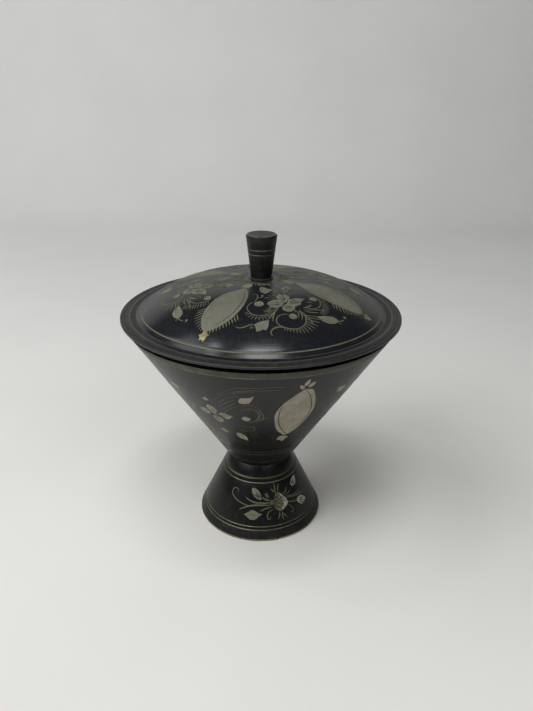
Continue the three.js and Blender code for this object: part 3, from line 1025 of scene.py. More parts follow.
almond.leaf((-1, 27.6), (-4, 32.6), 2.4, fullness=0.7)
almond.leaf((-0.8, 30.6), (0.3, 38), 2.8, fullness=0.7)
almond.leaf((1.8, 28.8), (4.4, 34.4), 3.2, fullness=0.6)
almond.leaf((-0.6, -29), (-3.6, -34.5), 4.2, fullness=0.6)
almond.leaf((0.2, -29.4), (-0.4, -37), 3.4, fullness=0.6)
almond.leaf((1, -29.4), (2.8, -33.4), 1.4, fullness=0.7)
bowl_leaf = almond.finished("base")

spray = Drawing(
    "bowl_spray_1",
    lay_on_cone(bowl_apex, BOWL_LEAN, 1, BOWL_SPRAY_AZIMUTH, waist_reach + BOWL_SPRAY_UP_SLOPE),
    BOWL_ENGRAVING,
)

# Four ragged petals round a small eye, with dark cuts in them, and four dots in the eye made pale
# by a painted glint.
spray.shape(
    (2.3, 2.9),
    [(2.8, 5.4), (1.9, 8.2), (0.1, 9.9)],
    [(0.3, 0.6), (-1.2, 0.9), (-2.4, 3.2), (-4, 6.5)],
    (-2.1, 9.9),
)
spray.shape(
    (-3.1, 0.2),
    [(-4.1, 2.9), (-6, 4.1), (-8.4, 3.4)],
    [(-5, -2.5), (-8.1, -2.7), (-10.2, -0.9)],
    (-11.2, 1.4),
)
spray.shape(
    (2.3, 0.3),
    [(4.9, 3.2), (7.4, 3.1), (9.4, 1.3)],
    [(3.7, -0.4), (5.2, -2.3), (6.7, -4), (8.9, -3.4), (10.1, -1.2)],
    (12, 0.2),
)
spray.shape(
    (-2.2, -2.6),
    [(-0.3, -2.4), (2.3, -2.9), (3.8, -4.8)],
    [(-3.1, -6.1), (-1.8, -8.5), (0.4, -9.9)],
    (3.7, -7.8),
)
spray.fan((1.4, 2.2), (-2, 9.2), 3.4, 3, 0.36)
spray.fan((-4.2, 0.4), (-9.6, 1), 3.6, 2, 0.36)
spray.fan((3.4, 0.2), (10.6, -0.2), 3.6, 3, 0.36)
spray.fan((-1.4, -3.4), (2.2, -8.4), 4.8, 4, 0.42)
for place in ((-1.6, 1), (-0.4, -0.2), (1, -1.2), (0.6, 1.2)):
    spray.dot(place, 0.55, "bright")

# A small leaf beyond each petal, and one at each corner, blunt towards the flower.
spray.shape((-3.3, 16.8), [(-0.2, 19.3)], [(-1.4, 15)], (1.4, 16.4))
spray.shape((16.6, -1.8), [(18.6, 0.6), (20.3, 0.6)], [(18.2, -4.5), (20.4, -4.6)], (22.6, -2.2))
spray.shape((-2.8, -18.9), [(0.3, -18.3), (1.6, -20)], [(-2, -21.6), (-0.4, -22.8)], (1.9, -22.4))
spray.shape((-18.6, -0.6), [(-16.8, 1)], [(-17.2, -2.7)], (-15, -1.4))
spray.shape(
    (21, 19.7),
    [(22.9, 22.3), (25.3, 22.6), (27.5, 22.1)],
    [(20.8, 17.3), (23.4, 16), (26.7, 16.5), (28.7, 19)],
    (31.4, 23.6),
)
spray.shape(
    (-20.5, 17),
    [(-21, 19.6), (-23.6, 21), (-26, 20.4)],
    [(-21.2, 14.8), (-24, 14.2), (-26.6, 15.6)],
    (-29.4, 20.4),
)
spray.shape(
    (7.8, -21.6),
    [(10.3, -20.9), (12.3, -22.9), (13.5, -26)],
    [(7.4, -24.9), (8.8, -27.9)],
    (13, -31.2),
)
spray.stroke([(9, -23.4), (10.4, -25.6), (11.6, -28.4)], 0.5, "black", lift=BLACK_LIFT)
spray.shape(
    (-9.5, -18),
    [(-12.8, -21.4), (-13.8, -26)],
    [(-8.2, -21.3), (-9.6, -25.6)],
    (-12.6, -28.7),
    "line",
)
spray.stroke(
    [(18.5, -13.8), (20, -11.6), (21.8, -12.2), (21.5, -15.1), (19.6, -17.8), (18, -16.9)], 0.5
)

# Scrolls that sweep over the flower towards the almond leaf, and a comb on their inner end. They
# are rubbed down until they hardly show.
scrolls = [
    [
        (8.5, 24.2), (13, 27.7), (18.8, 31.3), (24.7, 33.2), (30.4, 33), (36.6, 31.7),
        (40.8, 31.3), (44.9, 30.4), (50, 28),
    ],
    [
        (6.5, 19.6), (12.1, 24.8), (18.4, 28), (24.1, 30.2), (31.8, 30.3), (35.9, 29.2),
        (42.1, 27.7), (46.9, 25.9),
    ],
    [(7.7, 15.4), (14, 21.7), (19.5, 24.2), (22.9, 24.5)],
    [(7.1, 11.4), (13.3, 17.3), (19, 20.5)],
    [(6.3, 6.7), (12.6, 12.7), (17.8, 16.3)],
    [(7.2, 4.2), (12.1, 9.2), (17.4, 12.7)],
    [(20.8, 12.9), (26.7, 14.6), (29.6, 10.8), (30.7, 5), (30.6, -0.8)],
    [(18.1, 7.5), (24.6, 10.4), (28.5, 7.8), (29.5, 2.7), (27.6, -2.8)],
    [(21.2, 8.5), (26, 8.6), (28.5, 4.4), (27.6, -0.8), (24.6, -5.3)],
    [(30, 6.5), (31, 1.3), (29.5, -4.4)],
    [(11.7, -14.3), (13.5, -17.1), (16.6, -18.5)],
    [(13.5, -10.1), (15.3, -12.4), (18.2, -12.6)],
]
for scroll in scrolls:
    spray.stroke(scroll, 0.55, "worn", taper=(0.6, 0.6))
spray.fringe(
    [(20.2, 28.6), (24.4, 29.4), (28.3, 29.7), (32.1, 29.6)],
    count=8,
    length=(1.7, 1.7),
    lean=0,
    width=0.7,
    side=-1,
    finish="worn",
)
spray.fringe(
    [(19.8, -5), (23.3, -4.5), (27, -3), (31.1, -1.8)],
    count=9,
    length=(2.8, 3.4, 3),
    lean=0.3,
    width=0.45,
    side=-1,
    finish="worn",
)
bowl_spray = spray.finished("base")
bowl_motifs = [(bowl_leaf, "bowl_leaf"), (bowl_spray, "bowl_spray")]
repeat_round(bowl_motifs, 4, "base")

# The joining stud, its washer and its nut: plain brass hardware inside the foot. The stud is
# soldered into the bowl's boss, and the nut draws the foot's web up against the bowl. The threads
# are cut with a die, and the parts are dull and finger-marked.
STUD_PITCH = 1
STUD_THREAD_DEPTH = 0.42
STUD_END_CHAMFER = 0.6
THREAD_FLAT_SHARE = 0.14
NUT_ACROSS_FLATS = 10
NUT_FACE_INSET = 0.15
NUT_CHAMFER_ANGLE = math.radians(30)
NUT_HOLE_CHAMFER = 0.3
CUTTER_OVERLAP = 0.1

fixing_brass = metal_finish(
    "fixing_brass",
    pale=(0.50, 0.40, 0.21, 1),
    dull=(0.33, 0.26, 0.13, 1),
    roughness=0.36,
    rings=2600.0,
    ring_depth=0.01,
    scratches=0.9,
    mottling=90.0,
)
nut_brass = metal_finish(
    "nut_brass",
    pale=(0.54, 0.44, 0.24, 1),
    dull=(0.36, 0.29, 0.15, 1),
    roughness=0.33,
    rings=3200.0,
    ring_depth=0.008,
    scratches=0.9,
    mottling=110.0,
)


def threaded(radius, bottom, top, pitch, depth, finish):
    """The outline of a threaded rod from its bottom end up: crests, and roots half a turn on."""
    run = []
    root = radius - depth
    for turn in range(int((top - bottom) / pitch)):
        for edge, share in ((radius, 0), (root, 0.5)):
            height = bottom + (turn + share) * pitch
            run += [(edge, height, finish), (edge, height + THREAD_FLAT_SHARE * pitch, finish)]
    return run + [(radius, top, finish)]


def ring_section(inner, outer, low, high, finish):
    """The outline of a plain ring that reaches from one corner of its box to the other."""
    bottom, top = low.z / MM, high.z / MM
    corners = [(inner, bottom), (outer, bottom), (outer, top), (inner, top)]
    return [(*corner, finish) for corner in corners]


def join_by(piece, other, operation):
    """Cuts or keeps the part of a piece that another solid takes up, and deletes the other."""
    boolean = piece.modifiers.new("cut", "BOOLEAN")
    boolean.operation = operation
    boolean.solver = "EXACT"
    boolean.object = other
    apply_modifiers(piece)
    deselect_all()
    other.select_set(True)
    bpy.ops.object.delete()
    shade_smooth(piece)


stud_low, stud_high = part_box("joining_stud")
stud_bottom, stud_top = stud_low.z / MM, stud_high.z / MM
thread_bottom = stud_bottom + STUD_END_CHAMFER
stud_outline = [
    (0, stud_bottom, "brass"),
    (STUD_RADIUS - STUD_END_CHAMFER, stud_bottom, "brass"),
    *threaded(STUD_RADIUS, thread_bottom, stud_top, STUD_PITCH, STUD_THREAD_DEPTH, "brass"),
    (0, stud_top, "brass"),
]
in_fixing_brass = {"brass": fixing_brass}
stud = turn_on_lathe("joining_stud_threaded", stud_outline, in_fixing_brass, SMALL_SIDES, corner=0)
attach(stud, "base")
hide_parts("joining_stud")

washer_low, washer_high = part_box("foot_washer")
washer_outline = ring_section(stud_hole, washer_high.x / MM, washer_low, washer_high, "brass")
foot_washer = turn_on_lathe(
    "foot_washer_turned", washer_outline, in_fixing_brass, SMALL_SIDES, corner=0.25
)
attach(foot_washer, "base")
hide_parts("foot_washer")

nut_low, nut_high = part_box("foot_nut")
nut_bottom, nut_top = nut_low.z / MM, nut_high.z / MM
nut_corner = NUT_ACROSS_FLATS / math.sqrt(3)
nut_face = NUT_ACROSS_FLATS / 2 - NUT_FACE_INSET
hole_mouth = stud_hole + NUT_HOLE_CHAMFER
bar_radius = nut_corner + CUTTER_OVERLAP
bar_bottom, bar_top = nut_bottom - CUTTER_OVERLAP, nut_top + CUTTER_OVERLAP
nut_rise = (bar_radius - nut_face) * math.tan(NUT_CHAMFER_ANGLE)
deselect_all()
bpy.ops.mesh.primitive_cylinder_add(
    vertices=6,
    radius=nut_corner * MM,
    depth=(nut_top - nut_bottom) * MM,
    location=(0, 0, (nut_top + nut_bottom) / 2 * MM),
    rotation=(0, 0, math.pi / 2),
)
nut = bpy.context.object
name_piece(nut, "foot_nut_hexagon")
bpy.ops.object.transform_apply(location=True, rotation=True, scale=True)
bar_outline = [
    (hole_mouth, bar_bottom, "brass"),
    (nut_face, bar_bottom, "brass"),
    (nut_face, nut_bottom, "brass"),
    (bar_radius, nut_bottom + nut_rise, "brass"),
    (bar_radius, nut_top - nut_rise, "brass"),
    (nut_face, nut_top, "brass"),
    (nut_face, bar_top, "brass"),
    (hole_mouth, bar_top, "brass"),
    (stud_hole, nut_top - NUT_HOLE_CHAMFER, "brass"),
    (stud_hole, nut_bottom + NUT_HOLE_CHAMFER, "brass"),
]
in_nut_brass = {"brass": nut_brass}
chamfered_bar = turn_on_lathe("chamfered_bar", bar_outline, in_nut_brass, SMALL_SIDES, corner=0)
nut.data.materials.append(nut_brass)
join_by(nut, chamfered_bar, "INTERSECT")
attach(nut, "base")
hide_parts("foot_nut")

# The lid: dome and flange in one turning of brass, lacquered outside, with one line cut round the
# foot of the dome. The flange is left as the tool cut it, in fine rings, and its lacquer is duller.
_, lid_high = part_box("lid")
LID_RADIUS = lid_high.x / MM
APEX = lid_high.z / MM
LID_EDGE_CHAMFER = 0.3
LID_WALL = 2
FLANGE_RISE = 0.2
DOME_RADIUS = 79.7
DOME_HEIGHT = 20.7
DOME_ROUNDNESS = 3
DOME_STEPS = 48
DOME_LINE_RADIUS = 77.1
DOME_LINE_WIDTH = 0.72
KNOB_SEAT_RADIUS = 8.6
SCREW_HOLE_RADIUS = 2.2
WASHER_SEAT_RADIUS = 7
# Fine rings round the flange, from its edge in, with shade painted darker into their grooves; then a
# light band, a sunk band painted dark as shade, and a light line where the flange meets the dome, the
# band and line of lighter lacquer that is partly thin lacquer and partly painted highlight.
FLANGE_GROOVES = [(0.5, 0.4), (1.3, 0.3), (2.5, 0.9), (3.9, 0.5), (4.8, 0.3)]
FLANGE_RINGS = [(distance, width, "flange_dark") for distance, width in FLANGE_GROOVES]
FLANGE_PAINTED_HIGHLIGHT_BAND = (84.6, 83.5)
FLANGE_SUNK_SHADE_BAND = (83, 80.3)
FLANGE_BAND_DEPTH = 0.12
DOME_BASE = APEX - DOME_HEIGHT
FLANGE_EDGE = DOME_BASE - FLANGE_RISE


def dome_height(radius):
    """Height of the outside of the dome above the table, at a distance from the axis."""
    return DOME_BASE + DOME_HEIGHT * (1 - (radius / DOME_RADIUS) ** DOME_ROUNDNESS)


def hollow_height(radius):
    hollow = DOME_RADIUS - LID_WALL
    return SEAT_HEIGHT + (APEX - LID_WALL - SEAT_HEIGHT) * (1 - (radius / hollow) ** DOME_ROUNDNESS)


def steps_between(first, last, count):
    return [first + (last - first) * step / count for step in range(count + 1)]


def flange_height(radius):
    span = LID_RADIUS - LID_EDGE_CHAMFER - DOME_RADIUS
    return DOME_BASE - FLANGE_RISE * (radius - DOME_RADIUS) / span


dome_lacquer = lacquer_finish(
    "dome_lacquer",
    black=(0.0102, 0.0114, 0.0146, 1),
    thin=(0.013, 0.014, 0.0168, 1),
    roughness=0.15,
    rings=500.0,
    ring_depth=0.004,
    scratches=0.35,
    shine=0.4,
    patchy=0.015,
    film=0.24,
)
flange_lacquer = lacquer_finish(
    "flange_lacquer",
    black=(0.016, 0.0163, 0.0153, 1),
    thin=(0.034, 0.0338, 0.031, 1),
    roughness=0.38,
    rings=1900.0,
    ring_depth=0.03,
    scratches=0.7,
    shine=0.5,
)
# A darker, less shiny copy of the flange's lacquer: painted shade in the grooves and the sunk band.
flange_dark = lacquer_finish(
    "flange_painted_shade_lacquer",
    black=BLACK,
    thin=(0.012, 0.012, 0.012, 1),
    roughness=0.36,
    rings=1900.0,
    ring_depth=0.02,
    shine=0.24,
)
# Lighter lacquer, partly thin and partly a painted highlight, for the light band and the dome's foot.
flange_thin_painted_highlight = lacquer_finish(
    "flange_thin_lacquer_painted_highlight",
    black=(0.04, 0.0395, 0.036, 1),
    thin=(0.07, 0.068, 0.059, 1),
    roughness=0.38,
    rings=1900.0,
    ring_depth=0.02,
    scratches=0.8,
    shine=0.35,
)
highlight_out, highlight_in = FLANGE_PAINTED_HIGHLIGHT_BAND
shade_out, shade_in = FLANGE_SUNK_SHADE_BAND
flange_start = (LID_RADIUS - LID_EDGE_CHAMFER, FLANGE_EDGE)
# From the edge in: shaded grooves, a highlight band, a sunk shaded band and a highlight line, all
# painted.
flange_top = [
    *straight(flange_start, (highlight_out, flange_height(highlight_out)), FLANGE_RINGS, "flange"),
    (highlight_out, flange_height(highlight_out), "flange_thin_painted_highlight"),
    (highlight_in, flange_height(highlight_in), "flange_dark"),
    (shade_out, flange_height(shade_out) - FLANGE_BAND_DEPTH, "flange_dark"),
    (shade_in, flange_height(shade_in) - FLANGE_BAND_DEPTH, "flange_thin_painted_highlight"),
]
dome_line = scraped_metal(
    "dome_line_metal",
    pale=(0.16, 0.154, 0.096, 1),
    dull=(0.122, 0.117, 0.072, 1),
    roughness=0.5,
    lines=1400.0,
    line_depth=0.03,
)
line_in = DOME_LINE_RADIUS - DOME_LINE_WIDTH / 2
line_out = DOME_LINE_RADIUS + DOME_LINE_WIDTH / 2
hollow_radii = steps_between(WASHER_SEAT_RADIUS, DOME_RADIUS - LID_WALL, DOME_STEPS)
lid_outline = [
    (SCREW_HOLE_RADIUS, APEX - LID_WALL, "turned_brass"),
    (WASHER_SEAT_RADIUS, APEX - LID_WALL, "turned_brass"),
    *[(r, hollow_height(r), "turned_brass") for r in hollow_radii[1:]],
    (LID_RADIUS - LID_EDGE_CHAMFER, SEAT_HEIGHT, "dome"),
    (LID_RADIUS, SEAT_HEIGHT + LID_EDGE_CHAMFER, "dome"),
    (LID_RADIUS, FLANGE_EDGE - LID_EDGE_CHAMFER, "flange"),
    *flange_top,
    *[(r, dome_height(r), "dome") for r in steps_between(DOME_RADIUS, line_out, 4)[:-1]],
    (line_out, dome_height(line_out), "dome_line"),
    (DOME_LINE_RADIUS, dome_height(DOME_LINE_RADIUS) - DOME_LINE_WIDTH * LINE_DEPTH_SHARE, "dome_line"),
    *[(r, dome_height(r), "dome") for r in steps_between(line_in, KNOB_SEAT_RADIUS, DOME_STEPS)[:-1]],
    (KNOB_SEAT_RADIUS, APEX, "dome"),
    (SCREW_HOLE_RADIUS, APEX, "turned_brass"),
]
lid = turn_on_lathe(
    "lid_turned",
    lid_outline,
    {
        "dome": dome_lacquer,
        "flange": flange_lacquer,
        "flange_dark": flange_dark,
        "flange_thin_painted_highlight": flange_thin_painted_highlight,
        "dome_line": dome_line,
        "turned_brass": inside_brass,
    },
)
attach(lid, "lid_assembly")
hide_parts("lid")

# The lid's engraving: four pale leaves with a combed edge that lean round the dome, and between
# them four sprays of flowers, berries and feathered curls, cut with a graver and drawn here in
# plan. The tips of the leaves stand where fingers lift the lid, and are rubbed bright.
BORDER_INSET_SHARE = 0.09
lid_leaf_metal = scraped_metal(
    "lid_leaf_metal",
    pale=(0.18, 0.178, 0.136, 1),
    dull=(0.142, 0.14, 0.105, 1),
    roughness=0.64,
    lines=900.0,
    line_depth=0.05,
    metallic=0.15,
)
rubbed_tip = metal_finish(
    "rubbed_leaf_tip",
    pale=(0.62, 0.55, 0.34, 1),
    dull=(0.26, 0.22, 0.12, 1),
    roughness=0.34,
    rings=1800.0,
    ring_depth=0.01,
    scratches=1.0,
    mottling=190.0,
)
LID_ENGRAVING = {**ENGRAVING, "leaf": lid_leaf_metal, "tip": rubbed_tip}


def lay_on_dome(x, y, lift):
    return x, y, dome_height(math.hypot(x, y)) + lift


combed_leaf = Drawing("lid_leaf_1", lay_on_dome, LID_ENGRAVING)
leaf_outer = smooth_path(
    [
        (-9.4, -20.6), (-8.4, -26), (-8, -32), (-8.8, -38), (-11, -45), (-15, -52), (-20, -57),
        (-26, -60), (-31.4, -60.8),
    ],
    EDGE_STATIONS,
)
leaf_inner = smooth_path(
    [
        (-9.8, -20.6), (-13, -22.6), (-20, -26.6), (-26, -32), (-30, -38), (-33, -45),
        (-34.2, -52), (-33.4, -58), (-31.8, -60.8),
    ],
    EDGE_STATIONS,
)
combed_leaf.patch(leaf_outer, leaf_inner, "leaf", SHEET_LIFT)
outer_border = [
    (-10.4, -24), (-10, -31), (-10.8, -37.5), (-13, -44), (-17, -50.6), (-21.5, -55), (-27, -58),
]
combed_leaf.stroke(outer_border, 0.4, "black", taper=(0.4, 0.4), lift=BLACK_LIFT)
inner_border = ((1 - BORDER_INSET_SHARE) * leaf_inner + BORDER_INSET_SHARE * leaf_outer)[4:-8:4]
combed_leaf.stroke(inner_border, 0.24, "black", taper=(0.2, 0.6), lift=BLACK_LIFT)
combed_leaf.fringe(
    [(-31, -42), (-32.8, -48), (-33.4, -53), (-32.4, -57.6)],
    count=9,
    length=(6.2, 6.2, 4.4, 2.6),
    lean=0.45,
    width=0.62,
    side=-1,
)
combed_leaf.fringe(
    [(-14, -51.6), (-18.3, -55.1), (-23, -58.2), (-28.5, -60.4)],
    count=10,
    length=(4.9, 3.9, 3.0, 2.2),
    lean=0.5,
    width=0.68,
)
combed_leaf.leaf((-9.4, -20.6), (-6.6, -13), 5, fullness=0.6)
combed_leaf.leaf((-10.4, -20.2), (-11, -15.4), 2.4, fullness=0.6)
combed_leaf.shape(
    (-31, -60),
    [(-32.4, -60), (-33.2, -61.6), (-35, -61.6), (-34.2, -63.4), (-34.9, -65), (-33.2, -65)],
    [(-29.9, -61.2), (-30.1, -62.4), (-28.9, -63.4), (-30.6, -64), (-31.4, -65.6)],
    (-32.7, -66.8),
    "tip",
)
lid_leaf = combed_leaf.finished("lid_assembly")

spray = Drawing("lid_spray_1", lay_on_dome, LID_ENGRAVING)

# The open flower: four ragged petals, each given by the points down its sides between the eye of
# the flower and its tip, with thin dark cuts between their lobes.
spray.shape(
    (13.5, -40),
    [(9.6, -37.3), (8.6, -33.4)],
    [(16, -36.8), (16.6, -32.8), (14.2, -29.8), (12.5, -31.6)],
    (10.6, -29.2),
)
spray.shape(
    (12.9, -41),
    [(10.2, -37.4), (7.2, -37), (4, -39.8)],
    [(11.4, -44), (8.2, -46), (4.2, -45.4), (5, -43.8)],
    (3, -42.2),
)
spray.shape(
    (14.4, -40.8),
    [(16.1, -36.2), (19.7, -33.6)],
    [(16.8, -43), (19.9, -42.6), (22.9, -40), (23, -37.4)],
    (25.2, -33.4),
)
spray.shape(
    (14, -41),
    [(11.8, -44.7), (12.1, -47.5)],
    [(19.3, -42.9), (19.3, -44.8), (17.3, -48)],
    (15, -48.8),
)
lobe_gaps = [
    [(13.4, -38.4), (12.8, -35), (12.5, -31.6)],
    [(11.6, -41.8), (8, -42.8), (5, -43.2)],
    [(16, -40.8), (19, -39.6), (22.8, -37.8)],
]
for gap in lobe_gaps:
    spray.stroke(gap, 0.45, "black", taper=(0.5, 0.9), lift=BLACK_LIFT)
spray.fan((13.2, -38.4), (9.8, -30.8), 3, 3, 0.36)
spray.fan((14.2, -38.4), (15, -31), 2.4, 2, 0.36)
spray.fan((11.2, -41), (4.4, -40.4), 3.4, 3, 0.36)
spray.fan((16, -40), (23.6, -34.6), 4.4, 4, 0.4)
spray.fan((15, -42.4), (15.6, -48), 5.2, 5, 0.45)

# Berries, a tulip bud with cuts in it, and a rounder bud pricked all over.
BERRY_ARC = np.array([(-0.6, 0.4), (-0.5, -0.4), (0.2, -0.65), (0.65, -0.1)])
PRICK_HALF_LENGTH = 0.9
PRICK_WIDTH = 1.1
for place, radius in (((30.5, -32.2), 2.4), ((-1.5, -42.1), 2.8), ((17.7, -52.2), 2.4)):
    spray.dot(place, radius)
    spray.stroke(place + BERRY_ARC * radius, 0.3, "black", lift=BLACK_LIFT)
spray.dot((0.5, -32.6), 0.9)
spray.shape(
    (15.3, -26.1),
    [(13.2, -24.9), (11.8, -21.6), (13.5, -18)],
    [(16.6, -23.3), (18, -20.4), (16.8, -18.5)],
    (15.1, -16.4),
)
spray.fan((15.2, -25), (14.9, -17.4), 3.8, 3, 0.8)
spray.shape(
    (2, -30.2),
    [(-0.9, -26.1), (-1.2, -20.6)],
    [(4.5, -27.1), (6.3, -24.4), (4.2, -22.1)],
    (0.3, -19),
)
for x, y in ((0.4, -21.6), (2.8, -22.6), (0.3, -24.6), (2.6, -25.6), (4.6, -24.4), (1.6, -28)):
    prick = (x, y - PRICK_HALF_LENGTH), (x, y + PRICK_HALF_LENGTH)
    spray.leaf(*prick, PRICK_WIDTH, "black", widest=0.5, fullness=0.5, lift=BLACK_LIFT)

# Curls of an even thin line: the left one with its hook, the large right one and its tail, and the
# one round the right-hand berry.
left_curl = [
    (-5, -40), (-7.2, -42.5), (-8.3, -45.5), (-7.8, -48.5), (-6, -51.3), (-3.5, -52.8), (0, -53),
    (2.5, -52), (5.5, -49.5), (9.5, -44.8),
]
large_curl = [
    (14.6, -50.8), (11.5, -51.6), (9.2, -53.5), (8.2, -56), (8.6, -58.5), (10.5, -60.5),
    (13.5, -61.5), (17, -61.8), (20.5, -60.8), (23.2, -58.6), (24.6, -56), (25, -53), (24.4, -50),
    (21.5, -46),
]
berry_curl = [(24, -43), (30, -42.6), (33.4, -40), (34.6, -36), (34.2, -31.8), (32, -30)]
for curl in (left_curl, large_curl, berry_curl):
    spray.stroke(curl, 0.62, taper=(0.9, 0.9))
spray.stroke(
    [(-4, -39), (-3, -37), (-2.3, -34.5), (-2.3, -32), (-3.2, -30.3), (-4.6, -30), (-5.5, -30.6)],
    0.55,
    taper=(0.9, 0.5),
)
spray.stroke(
    [(13, -61.3), (10, -61.2), (7.4, -62), (5.6, -63.6), (5, -65.4), (5.8, -67.2)],
    0.8,
    taper=(0.7, 0.6),
)
spray.stroke([(-4, -55), (0.5, -54.2), (4, -52.5), (7, -50), (9.8, -45.8)], 0.6, taper=(0.5, 0.8))

# Combed strokes: outside the left curl, outside the large curl and leaning right as they climb, and
# outside the berry's curl.
spray.fringe(
    [(-7.4, -49.4), (-5.2, -52.2), (-1.8, -54.2), (2.4, -53.4), (4.6, -52.2)],
    count=10,
    length=(3.2, 3.6, 3.2, 2.9),
    lean=0.1,
    width=0.45,
    side=-1,
)
spray.fringe(
    [(13, -61.6), (17, -61.8), (20.5, -60.8), (23.2, -58.6), (24.6, -56), (25.1, -53), (24.6, -50)],
    count=14,
    length=(1.8, 2.2, 2.8, 4.4, 6, 8, 9.6),
    lean=-0.1,
    width=0.55,
    side=-1,
)
spray.fringe(
    [(33.6, -45), (35, -41), (35.4, -36), (34.6, -31.4)],
    count=11,
    length=(3.6, 4.6, 4.4, 3),
    lean=-0.1,
    width=0.42,
    side=-1,
)

# Plumes that run from the flower down to the left, down to the right and out to the right.
plumes = [
    [(6.2, -57.8), (6.4, -55), (6.9, -52), (8.2, -48.5), (10, -45.5)],
    [(3.5, -56.4), (5.2, -53.6), (7.2, -50), (9.6, -45.8)],
    [(0.8, -48.6), (3.6, -48.6), (5.3, -46.3)],
    [(1.2, -50), (4, -49.4), (6.2, -47)],
    [(2.4, -47.2), (4.4, -46.6), (5.4, -45.3)],
    [(21, -46.5), (22.6, -49), (23, -51.5), (22.6, -54.2)],
    [(19.5, -46.5), (20.8, -48.8), (21, -51), (20.8, -53)],
    [(18.6, -45.6), (19.2, -47.2), (18.9, -48.8)],
    [(22, -46.5), (26, -51), (29.5, -56)],
    [(24, -45), (28, -44.4), (32, -43), (38, -41.6)],
    [(24.5, -46.2), (29, -46.4), (33, -45)],
    [(24, -43), (27.4, -41.6), (29, -39)],
    [(25, -41.6), (27.6, -40.6), (28.8, -38.4)],
    [(26.5, -37), (28, -36.6), (29.5, -35.8)],
]
for plume in plumes:
    spray.stroke(plume, 0.68)

# A jagged leaf at the foot of the spray and its stem, and a plain leaf with sprouts on the right.
spray.shape(
    (4.1, -56.8),
    [(0.7, -57.4), (-2.6, -58.8), (-4.3, -60.2), (-3.4, -62)],
    [(3.7, -60.9), (2.6, -64.1), (0.7, -63.4), (-0.9, -64.4)],
    (-2.9, -65),
)
spray.stroke([(-3.6, -60), (-6, -60), (-9, -61.2), (-12, -61.8), (-14.5, -61)], 0.8)
spray.stroke([(-5.6, -61), (-6, -62), (-6.4, -63.2)], 0.6)
spray.stroke([(-4.8, -61.4), (-4.9, -62.2), (-5, -63)], 0.6)
spray.shape(
    (31.4, -49.2),
    [(36.4, -47.1), (40.6, -45.8), (43.1, -46.6)],
    [(34.8, -51.8), (38.2, -52.5), (41.8, -51.1)],
    (44.4, -48.3),
)
spray.stroke([(42, -49), (44.5, -48), (46.5, -46.6), (47.8, -45)], 0.7)
spray.dot((48.3, -43), 0.9)
spray.stroke([(41, -47.6), (41.6, -46.6), (42.2, -45.6)], 0.6)
spray.stroke([(43, -49), (44.5, -49.2), (46, -49.6)], 0.6)
spray.stroke([(31.8, -50), (35, -50.6), (39, -50)], 0.35, "black", lift=BLACK_LIFT)

# Fine strokes between the flower and the knob, and nicks round the knob's foot, whose lengths and
# leans wander by sines.
strands = [
    [(10.8, -29.6), (9, -27), (7, -22), (6, -18)],
    [(8.6, -30), (6.6, -26), (5, -20.5)],
    [(13, -29.8), (13.4, -27), (14, -24.5)],
    [(15.6, -27), (17, -24.6), (17.6, -22)],
    [(16, -31), (17.5, -28.5), (19.6, -26.4)],
    [(1.4, -35.8), (2.6, -35), (4.2, -35.2)],
    [(2, -35.1), (6.1, -33.7), (9, -35.3)],
    [(3.2, -37.5), (6.7, -36), (10, -37)],
    [(4.5, -29), (7, -29.4), (9.4, -32.6)],
    [(3.2, -32.2), (6.4, -31.3), (9.2, -33.6)],
    [(8.8, -28), (7.6, -25), (6.8, -22.4)],
    [(-2.6, -34.6), (-0.6, -34.8), (1, -34.2)],
]
for strand in strands:
    spray.stroke(strand, 0.5)
NICKS_ROUND_KNOB = 24
FIRST_NICK_ANGLE = -122
NICK_SPACING = 5.1
for step in range(NICKS_ROUND_KNOB):
    wander = 4 * math.sin(2.3 * step)
    angle = math.radians(FIRST_NICK_ANGLE + NICK_SPACING * step + wander)
    inner = 10 + 2.4 * abs(math.sin(1.7 * step))
    outer = inner + 1.6 + 3.2 * abs(math.sin(2.9 * step + 1))
    turned = angle + 0.12 * math.sin(4.1 * step)
    start = (inner * math.cos(angle), inner * math.sin(angle))
    end = (outer * math.cos(turned), outer * math.sin(turned))
    spray.nick(start, end, 0.42)
for step in range(10):
    start = np.array([-3.6 + 1.05 * step, -11.4 - 0.9 * abs(math.sin(2.2 * step))])
    end = start + np.array([1.3 * math.sin(1.9 * step), -3.6 - 2.2 * abs(math.sin(1.3 * step + 1))])
    spray.nick(start, end, 0.45)
for step in range(6):
    start = np.array([-3 + 1.5 * step, -13 - 1.1 * (step % 3)])
    end = start + np.array([2.3, -1.5])
    spray.nick(start, end, 0.4)
lid_spray = spray.finished("lid_assembly")
lid_motifs = [(lid_leaf, "lid_leaf"), (lid_spray, "lid_spray")]
repeat_round(lid_motifs, 4, "lid_assembly")

# The ring that centres the lid: a strip of brass, bent round and soldered under the flange. It is
# left bare, and drops just inside the bowl's mouth.
ring_low, ring_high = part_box("lid_locating_ring")
RING_RADIUS = ring_high.x / MM
RING_WALL = 1.6
ring_outline = ring_section(RING_RADIUS - RING_WALL, RING_RADIUS, ring_low, ring_high, "turned_brass")
ring = turn_on_lathe("lid_ring_turned", ring_outline, {"turned_brass": inside_brass}, corner=0.3)
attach(ring, "lid_assembly")
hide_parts("lid_locating_ring")

